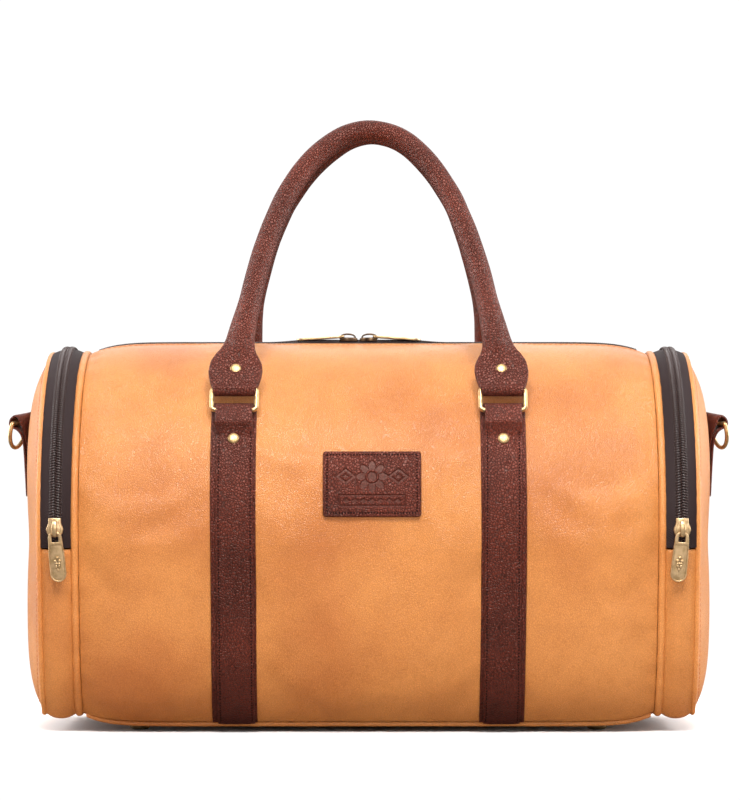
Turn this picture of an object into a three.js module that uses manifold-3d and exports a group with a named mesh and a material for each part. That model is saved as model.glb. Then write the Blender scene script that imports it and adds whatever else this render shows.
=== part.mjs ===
// Weekender duffel bag: a barrel body with a flat floor, a zipped pocket on
// each end, two rolled handles on rectangular rings, straps down both faces,
// and a D-ring tab on each end panel.
// Frame: +X along the barrel, -Y is the face with the maker's patch, +Z up,
// origin on the ground under the middle of the bag. Millimetres.
// Places on the barrel are given as (phi, d): phi in degrees round the cross-section,
// 0 at the top, 90 at the rear, -90 at the front, 180 under the floor; d is the
// distance outward from the nominal barrel.
import * as THREE from "three";
import { mergeVertices } from "three/addons/utils/BufferGeometryUtils.js";
import Module from "manifold-3d";

const wasm = await Module();
wasm.setup();

const DEG = Math.PI / 180;

// ---------------------------------------------------------------- main dimensions
// Barrel cross-section (across the bag)
const BODY_R = 128; // upper barrel radius
const BODY_ZC = 153; // height of the barrel's axis
const FLOOR_Z = 5; // underside of the body, held up by the feet
const FLOOR_HALF = 74; // half width of the flat floor
const CORNER_R = 14; // radius between floor and side

// Along the barrel
const BARREL_HALF = 204; // main compartment, seam to seam
const CROWN_FROM = 110; // the barrel starts to narrow here
const CROWN_DROP = 8; // and is this much smaller at the seam
const CROWN_POWER = 6; // how late the narrowing sets in
const CROWN_XS = [130, 170, 188, 198]; // stations that follow the narrowing

// Skins
const LEATHER = 2.4;
const OVERLAY_D = 0.5; // underside of straps and patch
const OVERLAY_T = 1.8; // thickness of one strap layer or the patch

// Fittings shared by straps and handles
const RING_X = 95; // half spacing of the straps
const BAR_LOW = [-110.5, 229.5]; // y, z of the front ring's lower bar
const BAR_UP = [-103.5, 245]; // y, z of its upper bar
const BAR_BORE_R = 2.2; // hole round a ring bar
const RIVET_BORE_R = 1.6;

// ---------------------------------------------------------------- materials
const finish = (settings) => () => new THREE.MeshStandardMaterial(settings);
const TAN = finish({ color: 0xd08a4a, roughness: 0.55, metalness: 0 });
const DARK = finish({ color: 0x4a231b, roughness: 0.6, metalness: 0 });
const TAPE = finish({ color: 0x352927, roughness: 0.85, metalness: 0 });
const BRASS = finish({ color: 0xb98f45, roughness: 0.32, metalness: 1 });
const CLOTH = finish({ color: 0x8a7763, roughness: 0.9, metalness: 0 });
const BOARD = finish({ color: 0x3a3634, roughness: 0.85, metalness: 0 });

// ---------------------------------------------------------------- solids
// Welds the vertices, drops collapsed triangles and turns the faces outward.
function clean(geometry) {
  const loose = geometry.index ? geometry.toNonIndexed() : geometry.clone();
  loose.deleteAttribute("normal");
  loose.deleteAttribute("uv");
  const merged = mergeVertices(loose, 1e-3);
  const index = merged.index.array;
  const points = merged.attributes.position.array;
  const keep = [];
  let volume = 0;
  const [a, b, c] = [new THREE.Vector3(), new THREE.Vector3(), new THREE.Vector3()];
  for (let i = 0; i < index.length; i += 3) {
    const [ia, ib, ic] = index.subarray(i, i + 3);
    if (ia === ib || ib === ic || ia === ic) continue;
    keep.push(ia, ib, ic);
    a.fromArray(points, ia * 3);
    b.fromArray(points, ib * 3);
    c.fromArray(points, ic * 3);
    volume += a.dot(b.cross(c));
  }
  if (volume < 0)
    for (let i = 0; i < keep.length; i += 3)
      [keep[i + 1], keep[i + 2]] = [keep[i + 2], keep[i + 1]];
  merged.setIndex(keep);
  return merged;
}

function toSolid(geometry) {
  const cleaned = clean(geometry);
  return new wasm.Manifold(
    new wasm.Mesh({
      numProp: 3,
      vertProperties: new Float32Array(cleaned.attributes.position.array),
      triVerts: new Uint32Array(cleaned.index.array),
    }),
  );
}

function toGeometry(solid) {
  const mesh = solid.getMesh();
  const points = new Float32Array(mesh.numVert * 3);
  for (let i = 0; i < mesh.numVert; i++) {
    const start = i * mesh.numProp;
    points.set(mesh.vertProperties.subarray(start, start + 3), i * 3);
  }
  return new THREE.BufferGeometry()
    .setAttribute("position", new THREE.BufferAttribute(points, 3))
    .setIndex(new THREE.BufferAttribute(new Uint32Array(mesh.triVerts), 1));
}

const join = (first, ...rest) =>
  toGeometry(rest.reduce((solid, part) => solid.add(toSolid(part)), toSolid(first)));
const cut = (first, ...rest) =>
  toGeometry(rest.reduce((solid, part) => solid.subtract(toSolid(part)), toSolid(first)));
const common = (first, second) => toGeometry(toSolid(first).intersect(toSolid(second)));

// ---------------------------------------------------------------- shape helpers
const vectors = (points) => points.map(([a, b]) => new THREE.Vector2(a, b));
const polygon = (points) => new THREE.Shape(vectors(points));
const extrude = (shape, depth, options) =>
  new THREE.ExtrudeGeometry(shape, { depth, bevelEnabled: false, ...options });
const lathe = (outline, segments) => new THREE.LatheGeometry(vectors(outline), segments);
const box = (x0, x1, y0, y1, z0, z1) =>
  new THREE.BoxGeometry(x1 - x0, y1 - y0, z1 - z0).translate(
    (x0 + x1) / 2,
    (y0 + y1) / 2,
    (z0 + z1) / 2,
  );
const rivetDrill = (length) =>
  new THREE.CylinderGeometry(RIVET_BORE_R, RIVET_BORE_R, length, 8).rotateX(Math.PI / 2);

const basis = (u, v, n) =>
  new THREE.Matrix4().makeBasis(
    new THREE.Vector3(...u),
    new THREE.Vector3(...v),
    new THREE.Vector3(...n),
  );
// Drawn in (y, z), extruded towards +X
const YZ_PLANE = basis([0, 1, 0], [0, 0, 1], [1, 0, 0]);
// Drawn in (x, z), extruded towards -Y
const XZ_PLANE = basis([1, 0, 0], [0, 0, 1], [0, -1, 0]);

const alongX = (points, x0, x1) =>
  clean(extrude(polygon(points), x1 - x0).applyMatrix4(YZ_PLANE)).translate(x0, 0, 0);

// Moves every vertex in place; move(x, y, z, u, v) gives its new position.
function warp(geometry, move) {
  const { position, uv } = geometry.attributes;
  for (let i = 0; i < position.count; i++) {
    const [x, y, z] = [position.getX(i), position.getY(i), position.getZ(i)];
    position.setXYZ(i, ...move(x, y, z, uv.getX(i), uv.getY(i)));
  }
  return geometry;
}

// Smooth step from 0 to 1
function ease(t) {
  const clamped = Math.min(1, Math.max(0, t));
  return clamped * clamped * (3 - 2 * clamped);
}

// A round wire on a closed path of [a, b] points in its own plane.
function wire(path, radius) {
  const count = path.length;
  const round6 = (value) => Math.round(value * 1e6) / 1e6;
  const torus = new THREE.TorusGeometry(10, 1, 6, count);
  return clean(
    warp(torus, (x, y, z, u, v) => {
      const k = Math.round(u * count) % count;
      const previous = path[(k + count - 1) % count];
      const next = path[(k + 1) % count];
      const here = path[k];
      const alongA = next[0] - previous[0];
      const alongB = next[1] - previous[1];
      const length = Math.hypot(alongA, alongB);
      const inPlane = round6(Math.cos(v * 2 * Math.PI));
      const offPlane = round6(Math.sin(v * 2 * Math.PI));
      return [
        here[0] + (alongB / length) * radius * inPlane,
        here[1] - (alongA / length) * radius * inPlane,
        radius * offPlane,
      ];
    }),
  );
}

// Places a geometry drawn in local axes across, along, outward (right-handed).
function place(geometry, { origin, across, along, outward }) {
  const unit = (axis) => new THREE.Vector3(...axis).normalize();
  const matrix = new THREE.Matrix4().makeBasis(unit(across), unit(along), unit(outward));
  matrix.setPosition(...origin);
  return geometry.clone().applyMatrix4(matrix);
}
const asIs = (geometry) => geometry;
const mirrorX = (geometry) => clean(geometry.clone().scale(-1, 1, 1));
const turned = (geometry) => geometry.clone().rotateZ(Math.PI);

const root = new THREE.Group();
function add(name, geometry, material, position = [0, 0, 0]) {
  const mesh = new THREE.Mesh(clean(geometry), material());
  mesh.name = name;
  mesh.position.set(...position);
  root.add(mesh);
}

// ------------------------------------------------- barrel cross-section curve
// Each half is an arc, a Bezier side, a rounded corner and the flat floor.
const ARC_END = 100; // phi where each part ends
const SIDE_END = 150;
const CORNER_END = 160;
const CORNER_MID = 155;
const CORNER_C = [FLOOR_HALF, FLOOR_Z + CORNER_R];
const CORNER_A = -49 * DEG; // direction from the corner's centre to its upper end
const ARC_PULL = 45; // lengths of the Bezier handles
const CORNER_PULL = 42;
const ARC_SIN = Math.sin(ARC_END * DEG);
const ARC_COS = Math.cos(ARC_END * DEG);
const SIDE_TOP = [BODY_R * ARC_SIN, BODY_ZC + BODY_R * ARC_COS];
const SIDE_FOOT = [
  CORNER_C[0] + CORNER_R * Math.cos(CORNER_A),
  CORNER_C[1] + CORNER_R * Math.sin(CORNER_A),
];
const SIDE_CURVE = [
  SIDE_TOP,
  [SIDE_TOP[0] + ARC_PULL * ARC_COS, SIDE_TOP[1] - ARC_PULL * ARC_SIN],
  [
    SIDE_FOOT[0] - CORNER_PULL * Math.sin(CORNER_A),
    SIDE_FOOT[1] + CORNER_PULL * Math.cos(CORNER_A),
  ],
  SIDE_FOOT,
];

function sidePoint(t) {
  const s = 1 - t;
  const [p0, p1, p2, p3] = SIDE_CURVE;
  const point = (i) =>
    s * s * s * p0[i] + 3 * s * s * t * p1[i] + 3 * s * t * t * p2[i] + t * t * t * p3[i];
  const slope = (i) =>
    s * s * (p1[i] - p0[i]) + 2 * s * t * (p2[i] - p1[i]) + t * t * (p3[i] - p2[i]);
  const [dy, dz] = [slope(0), slope(1)];
  const length = Math.hypot(dy, dz);
  return [point(0), point(1), -dz / length, dy / length];
}

// [y, z, normal y, normal z] on the rear half, angle 0 to 180
function halfProfile(angle) {
  if (angle <= ARC_END) {
    const ny = Math.sin(angle * DEG);
    const nz = Math.cos(angle * DEG);
    return [BODY_R * ny, BODY_ZC + BODY_R * nz, ny, nz];
  }
  if (angle <= SIDE_END) return sidePoint((angle - ARC_END) / (SIDE_END - ARC_END));
  if (angle <= CORNER_END) {
    const t = (angle - SIDE_END) / (CORNER_END - SIDE_END);
    const direction = CORNER_A + t * (-90 * DEG - CORNER_A);
    const ny = Math.cos(direction);
    const nz = Math.sin(direction);
    return [CORNER_C[0] + CORNER_R * ny, CORNER_C[1] + CORNER_R * nz, ny, nz];
  }
  return [(FLOOR_HALF * (180 - angle)) / (180 - CORNER_END), FLOOR_Z, 0, -1];
}

// The [y, z] of a place on the barrel
function at(phi, d) {
  const wrapped = ((((phi + 180) % 360) + 360) % 360) - 180;
  const side = wrapped < 0 ? -1 : 1;
  const [y, z, ny, nz] = halfProfile(Math.abs(wrapped));
  return [side * (y + ny * d), z + nz * d];
}

// Stations from one phi to another, on a common grid so that layers laid one on
// another have parallel facets.
const GRID = [];
for (let phi = -360; phi <= 360; phi += 10) GRID.push(phi);
for (const side of [-1, 1]) GRID.push(side * CORNER_MID, side * (360 - CORNER_MID));
GRID.sort((a, b) => a - b);
const MIN_STEP = 0.8;
const stations = (from, to) => [
  from,
  ...GRID.filter((phi) => phi > from + MIN_STEP && phi < to - MIN_STEP),
  to,
];
const ALL_ROUND = stations(-180, 180);
const sideRange = (side, from, to) => (side < 0 ? [-to, -from] : [from, to]);
const FACES = [
  ["front", -1],
  ["rear", 1],
];

// How far the barrel is narrowed at x
function crown(x) {
  const t = (Math.abs(x) - CROWN_FROM) / (BARREL_HALF - CROWN_FROM);
  return t > 0 ? -CROWN_DROP * Math.pow(t, CROWN_POWER) : 0;
}
const bothWays = (xs) => [...xs.slice().reverse().map((x) => -x), ...xs];

// Sections are closed lists of [x, d] points.
const crownedLayer = (xs, outer, inner) => [
  ...xs.map((x) => [x, crown(x) + outer]),
  ...xs.slice().reverse().map((x) => [x, crown(x) + inner]),
];
const flatLayer = (x, width, inner, outer) => [
  [x - width / 2, inner],
  [x + width / 2, inner],
  [x + width / 2, outer],
  [x - width / 2, outer],
];
const cord = (x, d, radius) =>
  Array.from({ length: 6 }, (_, i) => {
    const angle = 0.5 + (i * 2 * Math.PI) / 6;
    return [x + radius * Math.cos(angle), d + radius * Math.sin(angle)];
  });

// A section carried along the curve; moveX(x, station, last) may shift it.
function sweep(section, phis, moveX = asIs) {
  const last = phis.length - 1;
  const strip = extrude(polygon(section), last, { steps: last });
  return clean(
    warp(strip, (x, d, depth) => {
      const k = Math.round(depth);
      return [moveX(x, k, last), ...at(phis[k], d)];
    }),
  );
}

// An outline of [r, x] points carried right round; move(phi, r, x) gives the place.
function carryRound(outline, move) {
  const last = ALL_ROUND.length - 1;
  return clean(
    warp(lathe(outline, last), (a, x, b, u) =>
      move(ALL_ROUND[Math.round(u * last)], Math.hypot(a, b), x),
    ),
  );
}

// A closed section carried right round the curve
const LOOP_BASE = 1000; // keeps the lathe radius positive
function loop(section) {
  const outline = [...section, section[0]].map(([x, d]) => [d + LOOP_BASE, x]);
  return carryRound(outline, (phi, r, x) => {
    const d = Math.round((r - LOOP_BASE) * 1e4) / 1e4;
    return [x, ...at(phi, d)];
  });
}

// Local axes lying on the front face: across +X, along up the face
function faceFrame(x, phi, d) {
  const sin = Math.sin(phi * DEG);
  const cos = Math.cos(phi * DEG);
  return {
    origin: [x, (BODY_R + d) * sin, BODY_ZC + (BODY_R + d) * cos],
    across: [1, 0, 0],
    along: [0, cos, -sin],
    outward: [0, sin, cos],
  };
}

// ---------------------------------------------------------------- main barrel
const PANEL_PHI = [4.9, 152.2];
const BOTTOM_PHI = 159.3;
const panelSection = crownedLayer(bothWays([...CROWN_XS, BARREL_HALF]), 0, -LEATHER);
for (const [face, side] of FACES)
  add(
    face + "_panel",
    sweep(panelSection, stations(...sideRange(side, ...PANEL_PHI))),
    TAN,
  );
add("bottom_panel", sweep(panelSection, stations(BOTTOM_PHI, 360 - BOTTOM_PHI)), TAN);

// Cords along X that follow the narrowing at both ends
const CORD = { r: 1.6, phi: 156, d: -0.9, xs: bothWays([130, 170, 188, 200]) };
function bottomPiping(phi) {
  const last = CORD.xs.length - 1;
  return clean(
    warp(new THREE.CylinderGeometry(CORD.r, CORD.r, last, 6, last), (a, along, b) => {
      const x = CORD.xs[Math.round(along + last / 2)];
      const [y, z] = at(phi, crown(x) + CORD.d);
      return [x, y + a, z + b];
    }),
  );
}
for (const [face, side] of FACES)
  add("bottom_piping_" + face, bottomPiping(side * CORD.phi), TAN);

// Main zip: two tapes with half of the coil each
const ZIP_GAP_PHI = 0.12;
const MAIN_TAPE = { xs: bothWays([...CROWN_XS, 203.4]), outer: -0.2, inner: -1.6, phi: 4.7 };
const MAIN_COIL = { xs: bothWays([...CROWN_XS, 200]), outer: 0.8, inner: -1.2, phi: 1.5 };
function mainTape(side) {
  const strip = ({ xs, outer, inner, phi }) =>
    sweep(crownedLayer(xs, outer, inner), sideRange(side, ZIP_GAP_PHI, phi));
  return join(strip(MAIN_TAPE), strip(MAIN_COIL));
}
for (const [face, side] of FACES) add("main_zip_tape_" + face, mainTape(side), TAPE);

// Lining bag: floor, walls and both end walls, open at the mouth
const MIDDLE_Z = 140; // centre the end walls and end panels shrink towards
const LINING_D = -3.6;
const LINING_T = 1.2;
const LINING_HALF = 202.6;
function liningSolid(d, half) {
  const outline = [
    [0, -half],
    ...bothWays([...CROWN_XS, half]).map((x) => [1, x]),
    [0, half],
  ];
  return carryRound(outline, (phi, r, x) => {
    const drop = Math.abs(x) > 199 ? crown(half) - 0.6 : crown(x) - 0.4;
    const [y, z] = at(phi, d + drop);
    return [x, y * r, MIDDLE_Z + (z - MIDDLE_Z) * r];
  });
}
const mainLining = () =>
  cut(
    liningSolid(LINING_D, LINING_HALF),
    liningSolid(LINING_D - LINING_T, LINING_HALF - LINING_T),
    box(-196, 196, -9, 9, 240, 300),
  );
add("main_lining", mainLining(), CLOTH);

// Stiff board on the floor, with rounded corners
function baseBoard() {
  const [w, h, r, thickness] = [192, 64, 14, 2.5];
  const shape = new THREE.Shape();
  shape.moveTo(-w + r, -h).lineTo(w - r, -h).quadraticCurveTo(w, -h, w, -h + r);
  shape.lineTo(w, h - r).quadraticCurveTo(w, h, w - r, h);
  shape.lineTo(-w + r, h).quadraticCurveTo(-w, h, -w, h - r);
  shape.lineTo(-w, -h + r).quadraticCurveTo(-w, -h, -w + r, -h);
  return extrude(shape, thickness, { curveSegments: 3 });
}
add("base_board", baseBoard(), BOARD, [0, 0, 17.6]);

// Feet
const FOOT = { x: 165, y: 55, r: 7.5, height: 4.6, chamfer: 1.6 };
const footOutline = [
  [0, 0],
  [FOOT.r - FOOT.chamfer, 0],
  [FOOT.r, FOOT.chamfer],
  [FOOT.r, FOOT.height],
  [0, FOOT.height],
];
const foot = lathe(footOutline, 14).rotateX(Math.PI / 2);
const SIDES = [
  ["left", -1],
  ["right", 1],
];
for (const [face, signY] of FACES)
  for (const [side, signX] of SIDES)
    add(`foot_${face}_${side}`, foot, BRASS, [signX * FOOT.x, signY * FOOT.y, 0]);

// ---------------------------------------------------------------- end pockets
// Drawn for the right end, mirrored for the left
const SEAM_X = 207; // seam piping centre
const SEAM_R = 2.75;
const PIPING_D = -8.5; // centre of the seam and edge piping
const ZIP_X = 220; // pocket zip centre line
const BAND_IN = ZIP_X - 9.7; // pocket gusset band
const BAND_OUT = ZIP_X + 9.7;
const ZIP_END = 99.8; // phi where the pocket zip ends
const GUSSET_PHI = ZIP_END + 0.5;
const EDGE_X = 232; // outer edge piping centre
const EDGE_R = 1.9;

const GUSSET_SECTION = [
  [BAND_IN, -7.2],
  [ZIP_X, -4.2],
  [BAND_OUT, -7.2],
  [BAND_OUT, -8.8],
  [ZIP_X, -6.2],
  [BAND_IN, -8.8],
];
// Tape with its raised half of the coil
const POCKET_ZIP_SECTION = [
  [BAND_IN, -7.2],
  [213.5, -5.6],
  [216, -4.8],
  [216, -3.2],
  [219.7, -3.0],
  [219.7, -5.4],
  [213.5, -7.0],
  [BAND_IN, -8.6],
];
const zipInner = sweep(POCKET_ZIP_SECTION, stations(-ZIP_END, ZIP_END));
const zipOuter = mirrorX(zipInner.clone().translate(-2 * ZIP_X, 0, 0));
const edgeRing = loop(cord(EDGE_X, PIPING_D, EDGE_R));

// End panel: a shallow dome, bulging outward from its rim
const DOME_X0 = 233.2; // end panel edge
const DOME_H = 15.2;
const DOME_D = -11.1; // rim
const DOME_RISE = BODY_ZC + BODY_R + DOME_D - MIDDLE_Z; // middle to top rim
const DOME_POWER = 6; // how full the panel is towards its top and bottom rim
const DOME_POWER_SIDE = 2.2; // and towards its front and rear rim
const DOME_RIM_T = 1.8;
const DOME_RADII = [0.35, 0.62, 0.82, 0.94]; // fractions of the way to the rim
const domeX = (r) => DOME_X0 + DOME_H * (1 - Math.pow(r, DOME_POWER));
function endPanel() {
  const outline = [
    [0, domeX(0)],
    ...DOME_RADII.map((r) => [r, domeX(r)]),
    [1, DOME_X0],
    [1, DOME_X0 - DOME_RIM_T],
    ...DOME_RADII.slice().reverse().map((r) => [r, domeX(r) - LEATHER]),
    [0, domeX(0) - LEATHER],
  ];
  return carryRound(outline, (phi, r, x) => {
    const [y, z] = at(phi, DOME_D);
    const rise = z - MIDDLE_Z;
    const sideways = (y * y) / (y * y + rise * rise);
    const power = DOME_POWER * (1 - sideways) + DOME_POWER_SIDE * sideways;
    const bulge = DOME_H * (Math.pow(r, DOME_POWER) - Math.pow(r, power));
    return [x + bulge, y * r, MIDDLE_Z + rise * r];
  });
}

// The region kept above (sign 1) or below (sign -1) the flap's bend line
const SPLIT_Z = 132; // the end flap bends along this height
const SPLIT_GAP = 0.3; // half the gap between the parts
const FLAP_PIVOT_X = 238; // the gap widens outward from here
const RELIEF = Math.tan(20.5 * DEG);
const KEEP = { xIn: 205, xOut: 275, height: 190, width: 300 }; // clears the end panel
function keepRegion(sign) {
  const widened = SPLIT_GAP + (KEEP.xOut - FLAP_PIVOT_X) * RELIEF;
  const points = [
    [KEEP.xIn, SPLIT_Z + sign * SPLIT_GAP],
    [FLAP_PIVOT_X, SPLIT_Z + sign * SPLIT_GAP],
    [KEEP.xOut, SPLIT_Z + sign * widened],
    [KEEP.xOut, SPLIT_Z + sign * KEEP.height],
    [KEEP.xIn, SPLIT_Z + sign * KEEP.height],
  ];
  const region = extrude(polygon(points), KEEP.width).applyMatrix4(XZ_PLANE);
  return clean(region).translate(0, KEEP.width / 2, 0);
}
const dome = endPanel();

// Tab: a doubled strap lying on the end panel by its tail; above the tail its two
// layers part into a loop round the D-ring's bar. The bar is turned, front end
// outward, so the front edge of the loop hangs free while its rear edge lies
// against the panel.
const TAB_W = 19;
const DBAR = [258, 221.6]; // x, z of the D-ring's straight bar
const DRING_TWIST = 20 * DEG;
const panelAt = (z) => domeX(Math.abs(z - MIDDLE_Z) / DOME_RISE) + 0.7;
// Columns: x, z on the front edge, then x, z on the rear edge
const TAB_OUTLINE = [
  [panelAt(168), 168, panelAt(168), 168],
  [panelAt(168) + 3.2, 168.4, panelAt(168) + 3.2, 168.4],
  [253.1, 180, 252.9, 180],
  [253.8, 195, 252.7, 195],
  [254.7, 207, 252.3, 206],
  [256.0, 212.4, 252.5, 212],
  [258.2, 215.8, 253.2, 215.6],
  [260.6, 217.4, 254.4, 217.3],
  [263.3, 218.1, 256.7, 218.1],
  [265.0, 220.2, 258.4, 220.2],
  [265.1, 223.0, 258.6, 223.0],
  [263.4, 226.2, 257.2, 226.4],
  [260.2, 228.0, 254.6, 228.8],
  [257.4, 226.9, 250.6, 230.6],
  [254.6, 221.6, panelAt(230) + 0.4, 230.9],
  [252.4, 215, panelAt(222), 222],
  [250.6, 207, panelAt(209), 209],
  [panelAt(195), 195, panelAt(195), 195],
  [panelAt(182), 182, panelAt(182), 182],
];
const TAB_LOOP = [
  [255.6, 214.8, 251.6, 216.2],
  [257.6, 217.7, 252.6, 218.2],
  [260.4, 219.5, 253.9, 219.5],
  [262.5, 219.9, 255.7, 219.9],
  [263.2, 221.2, 256.6, 221.2],
  [263.1, 222.8, 256.6, 222.8],
  [262.1, 224.8, 255.6, 225.2],
  [260.3, 226.0, 253.4, 227.0],
  [259.0, 225.5, 250.8, 228.2],
  [256.8, 221.0, 249.9, 222.0],
];
function strapTab() {
  const shape = polygon(TAB_OUTLINE);
  shape.holes.push(new THREE.Path(vectors(TAB_LOOP)));
  const key = (x, z) => x.toFixed(3) + "," + z.toFixed(3);
  const rear = new Map(
    [...TAB_OUTLINE, ...TAB_LOOP].map(([xf, zf, xr, zr]) => [key(xf, zf), [xr, zr]]),
  );
  const half = TAB_W / 2;
  const sin = Math.sin(DRING_TWIST);
  const tan = Math.tan(DRING_TWIST);
  const shortening = half * (1 - Math.cos(DRING_TWIST));
  // Each edge swings round with the bar as it leaves the panel.
  const frontY = (x) =>
    -half + ease((x - 253) / 5) * (shortening + (x - DBAR[0] - half * sin) * tan);
  const rearY = (x) =>
    half - ease((x - 250) / 3.5) * (shortening - (x - DBAR[0] + half * sin) * tan);
  return clean(
    warp(extrude(shape, 1, { steps: 4 }), (xf, zf, depth) => {
      const [xr, zr] = rear.get(key(xf, zf));
      const t = 1 - depth; // 0 at the front edge
      const yf = frontY(xf);
      return [xf + (xr - xf) * t, yf + (rearY(xr) - yf) * t, zf + (zr - zf) * t];
    }),
  );
}

// D-ring: a straight bar and a bow of seven points below it
const DRING_WIRE = 1.5;
const DRING_HANG = 10 * DEG; // the bow leans away from the bag
const DBAR_HALF = 11.5;
const BOW = { halfWidth: 12.2, depth: 15, drop: 3 };
function dRing() {
  const bow = Array.from({ length: 7 }, (_, i) => {
    const angle = (((i + 0.55) * 180) / 7.1) * DEG;
    return [BOW.halfWidth * Math.cos(angle), -BOW.drop - BOW.depth * Math.sin(angle)];
  });
  const [sinHang, cosHang] = [Math.sin(DRING_HANG), Math.cos(DRING_HANG)];
  const [sinTwist, cosTwist] = [Math.sin(DRING_TWIST), Math.cos(DRING_TWIST)];
  return place(wire([[-DBAR_HALF, 0], [DBAR_HALF, 0], ...bow], DRING_WIRE), {
    origin: [DBAR[0], 0, DBAR[1]],
    across: [-sinTwist, cosTwist, 0],
    along: [-sinHang * cosTwist, -sinHang * sinTwist, cosHang],
    outward: [cosHang * cosTwist, cosHang * sinTwist, sinHang],
  });
}

// ---------------------------------------------------------------- zip hardware
// Drawn in local axes: x across the zip, y along it, z outward
const SLIDER_L = 13;
const SLIDER_W = 12;
const SLIDER_H = 2.4;
const BRIDGE_W = 3;
const PULL_L = 34.7; // from the crossbar to the round end
const PULL_W = 11.4;
const PULL_T = 1.5;
const PULL_TILT = 4; // degrees, turned towards the zip about the crossbar
const CROSSBAR = [0, -3.9, SLIDER_H + 1.2]; // under the slider's bridge

// Bridge over the slider and its opening, as [y, z above the slider]
const BRIDGE_OUTLINE = [
  [-6.8, 0.9], [-6.2, 0.3], [-5.9, -0.6], [5.3, -0.6],
  [5.3, 1.2], [3.5, 3.3], [-5.2, 3.3], [-6.8, 2.0],
];
const BRIDGE_OPENING = [
  [-5.5, 0], [-5.5, 1.7], [-4.9, 2.35], [0.6, 2.35], [0.6, 0],
];
function sliderShape() {
  const w = SLIDER_W / 2;
  const l = SLIDER_L / 2;
  const plan = polygon([
    [-3.6, -l], [3.6, -l], [w - 0.8, -l + 1.9],
    [w, -1.2], [4.35, 2.4], [4.35, l], [-4.35, l],
    [-4.35, 2.4], [-w, -1.2], [-w + 0.8, -l + 1.9],
  ]);
  const arch = polygon(BRIDGE_OUTLINE);
  arch.holes.push(new THREE.Path(vectors(BRIDGE_OPENING)));
  const bridge = extrude(arch, BRIDGE_W)
    .applyMatrix4(YZ_PLANE)
    .translate(-BRIDGE_W / 2, 0, SLIDER_H);
  return join(extrude(plan, SLIDER_H), bridge);
}

function pullShape() {
  const w = PULL_W / 2;
  const shape = new THREE.Shape();
  shape.moveTo(-2.6, 0.75).lineTo(2.6, 0.75).lineTo(4.3, -0.9).lineTo(4.85, -3.2);
  shape.lineTo(w - 0.1, -16).lineTo(w, -PULL_L + w);
  shape.absarc(0, -PULL_L + w, w, 0, -Math.PI, true);
  shape.lineTo(-w + 0.1, -16).lineTo(-4.85, -3.2).lineTo(-4.3, -0.9);
  return cut(
    extrude(shape, PULL_T, { curveSegments: 8 }).translate(0, 0, -PULL_T / 2),
    box(-2.45, 2.45, -6.4, -0.75, -3, 3),
  );
}

const sliderLocal = sliderShape();
const pullLocal = pullShape();
// swing: degrees the pull is turned in its own plane
function placePull(frame, swing) {
  const pull = pullLocal
    .clone()
    .rotateZ(swing * DEG)
    .rotateX(PULL_TILT * DEG)
    .translate(...CROSSBAR);
  return place(pull, frame);
}

const POCKET_SLIDER_PHI = -92.8;
const POCKET_SLIDER_D = -2.1;
const POCKET_PULL_SWING = -5;
const pocketFrame = faceFrame(ZIP_X, POCKET_SLIDER_PHI, POCKET_SLIDER_D);

const END_PARTS = [
  ["seam_piping", loop(cord(SEAM_X, PIPING_D, SEAM_R)), TAN],
  ["pocket_gusset", sweep(GUSSET_SECTION, stations(GUSSET_PHI, 360 - GUSSET_PHI)), TAN],
  ["pocket_zip_inner", zipInner, TAPE],
  ["pocket_zip_outer", zipOuter, TAPE],
  ["end_panel_lower", common(dome, keepRegion(-1)), TAN],
  ["end_flap", common(dome, keepRegion(1)), TAN],
  ["edge_piping_lower", common(edgeRing, keepRegion(-1)), TAN],
  ["edge_piping_flap", common(edgeRing, keepRegion(1)), TAN],
  ["strap_tab", strapTab(), DARK],
  ["d_ring", dRing(), BRASS],
  ["pocket_slider", place(sliderLocal, pocketFrame), BRASS],
  ["pocket_pull", placePull(pocketFrame, POCKET_PULL_SWING), BRASS],
];
for (const [side, flip] of [
  ["right", asIs],
  ["left", mirrorX],
])
  for (const [part, geometry, material] of END_PARTS)
    add(`${side}_${part}`, flip(geometry), material);

// Main zip sliders, back to back near the middle; columns: side, x, way the slider points
const MAIN_SLIDER_Z = BODY_ZC + BODY_R + 1.2;
for (const [side, x, way] of [
  ["left", -14.6, 1],
  ["right", 0, -1],
]) {
  const frame = {
    origin: [x, 0, MAIN_SLIDER_Z],
    across: [0, -way, 0],
    along: [way, 0, 0],
    outward: [0, 0, 1],
  };
  add("main_zip_slider_" + side, place(sliderLocal, frame), BRASS);
  add("main_zip_pull_" + side, placePull(frame, 0), BRASS);
}

// ---------------------------------------------------------------- straps
// Drawn on the front face, turned half round for the rear
const STRAP_BACK_W = 32;
const STRAP_TOP_W = 26.5;
const STRAP_FOOT_PHI = -152;
const BACKING_END_PHI = -51.3;
const STRAP_END_PHI = -58;
const STRAP_FOLD_R = 4; // outside of the fold round the ring's lower bar
const LAP = 0.3; // overlap that joins the layers
const BACKING_D = OVERLAY_D + OVERLAY_T; // outer face of the backing
const STRAP_D = BACKING_D + OVERLAY_T; // outer face of the strap
const STRAP_RIVET_Z = 207.5;
const STRAP_RIVET_PHI = -Math.acos((STRAP_RIVET_Z - BODY_ZC) / BODY_R) / DEG;
const strapRivetFrame = (x) => faceFrame(x, STRAP_RIVET_PHI, STRAP_D);

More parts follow.
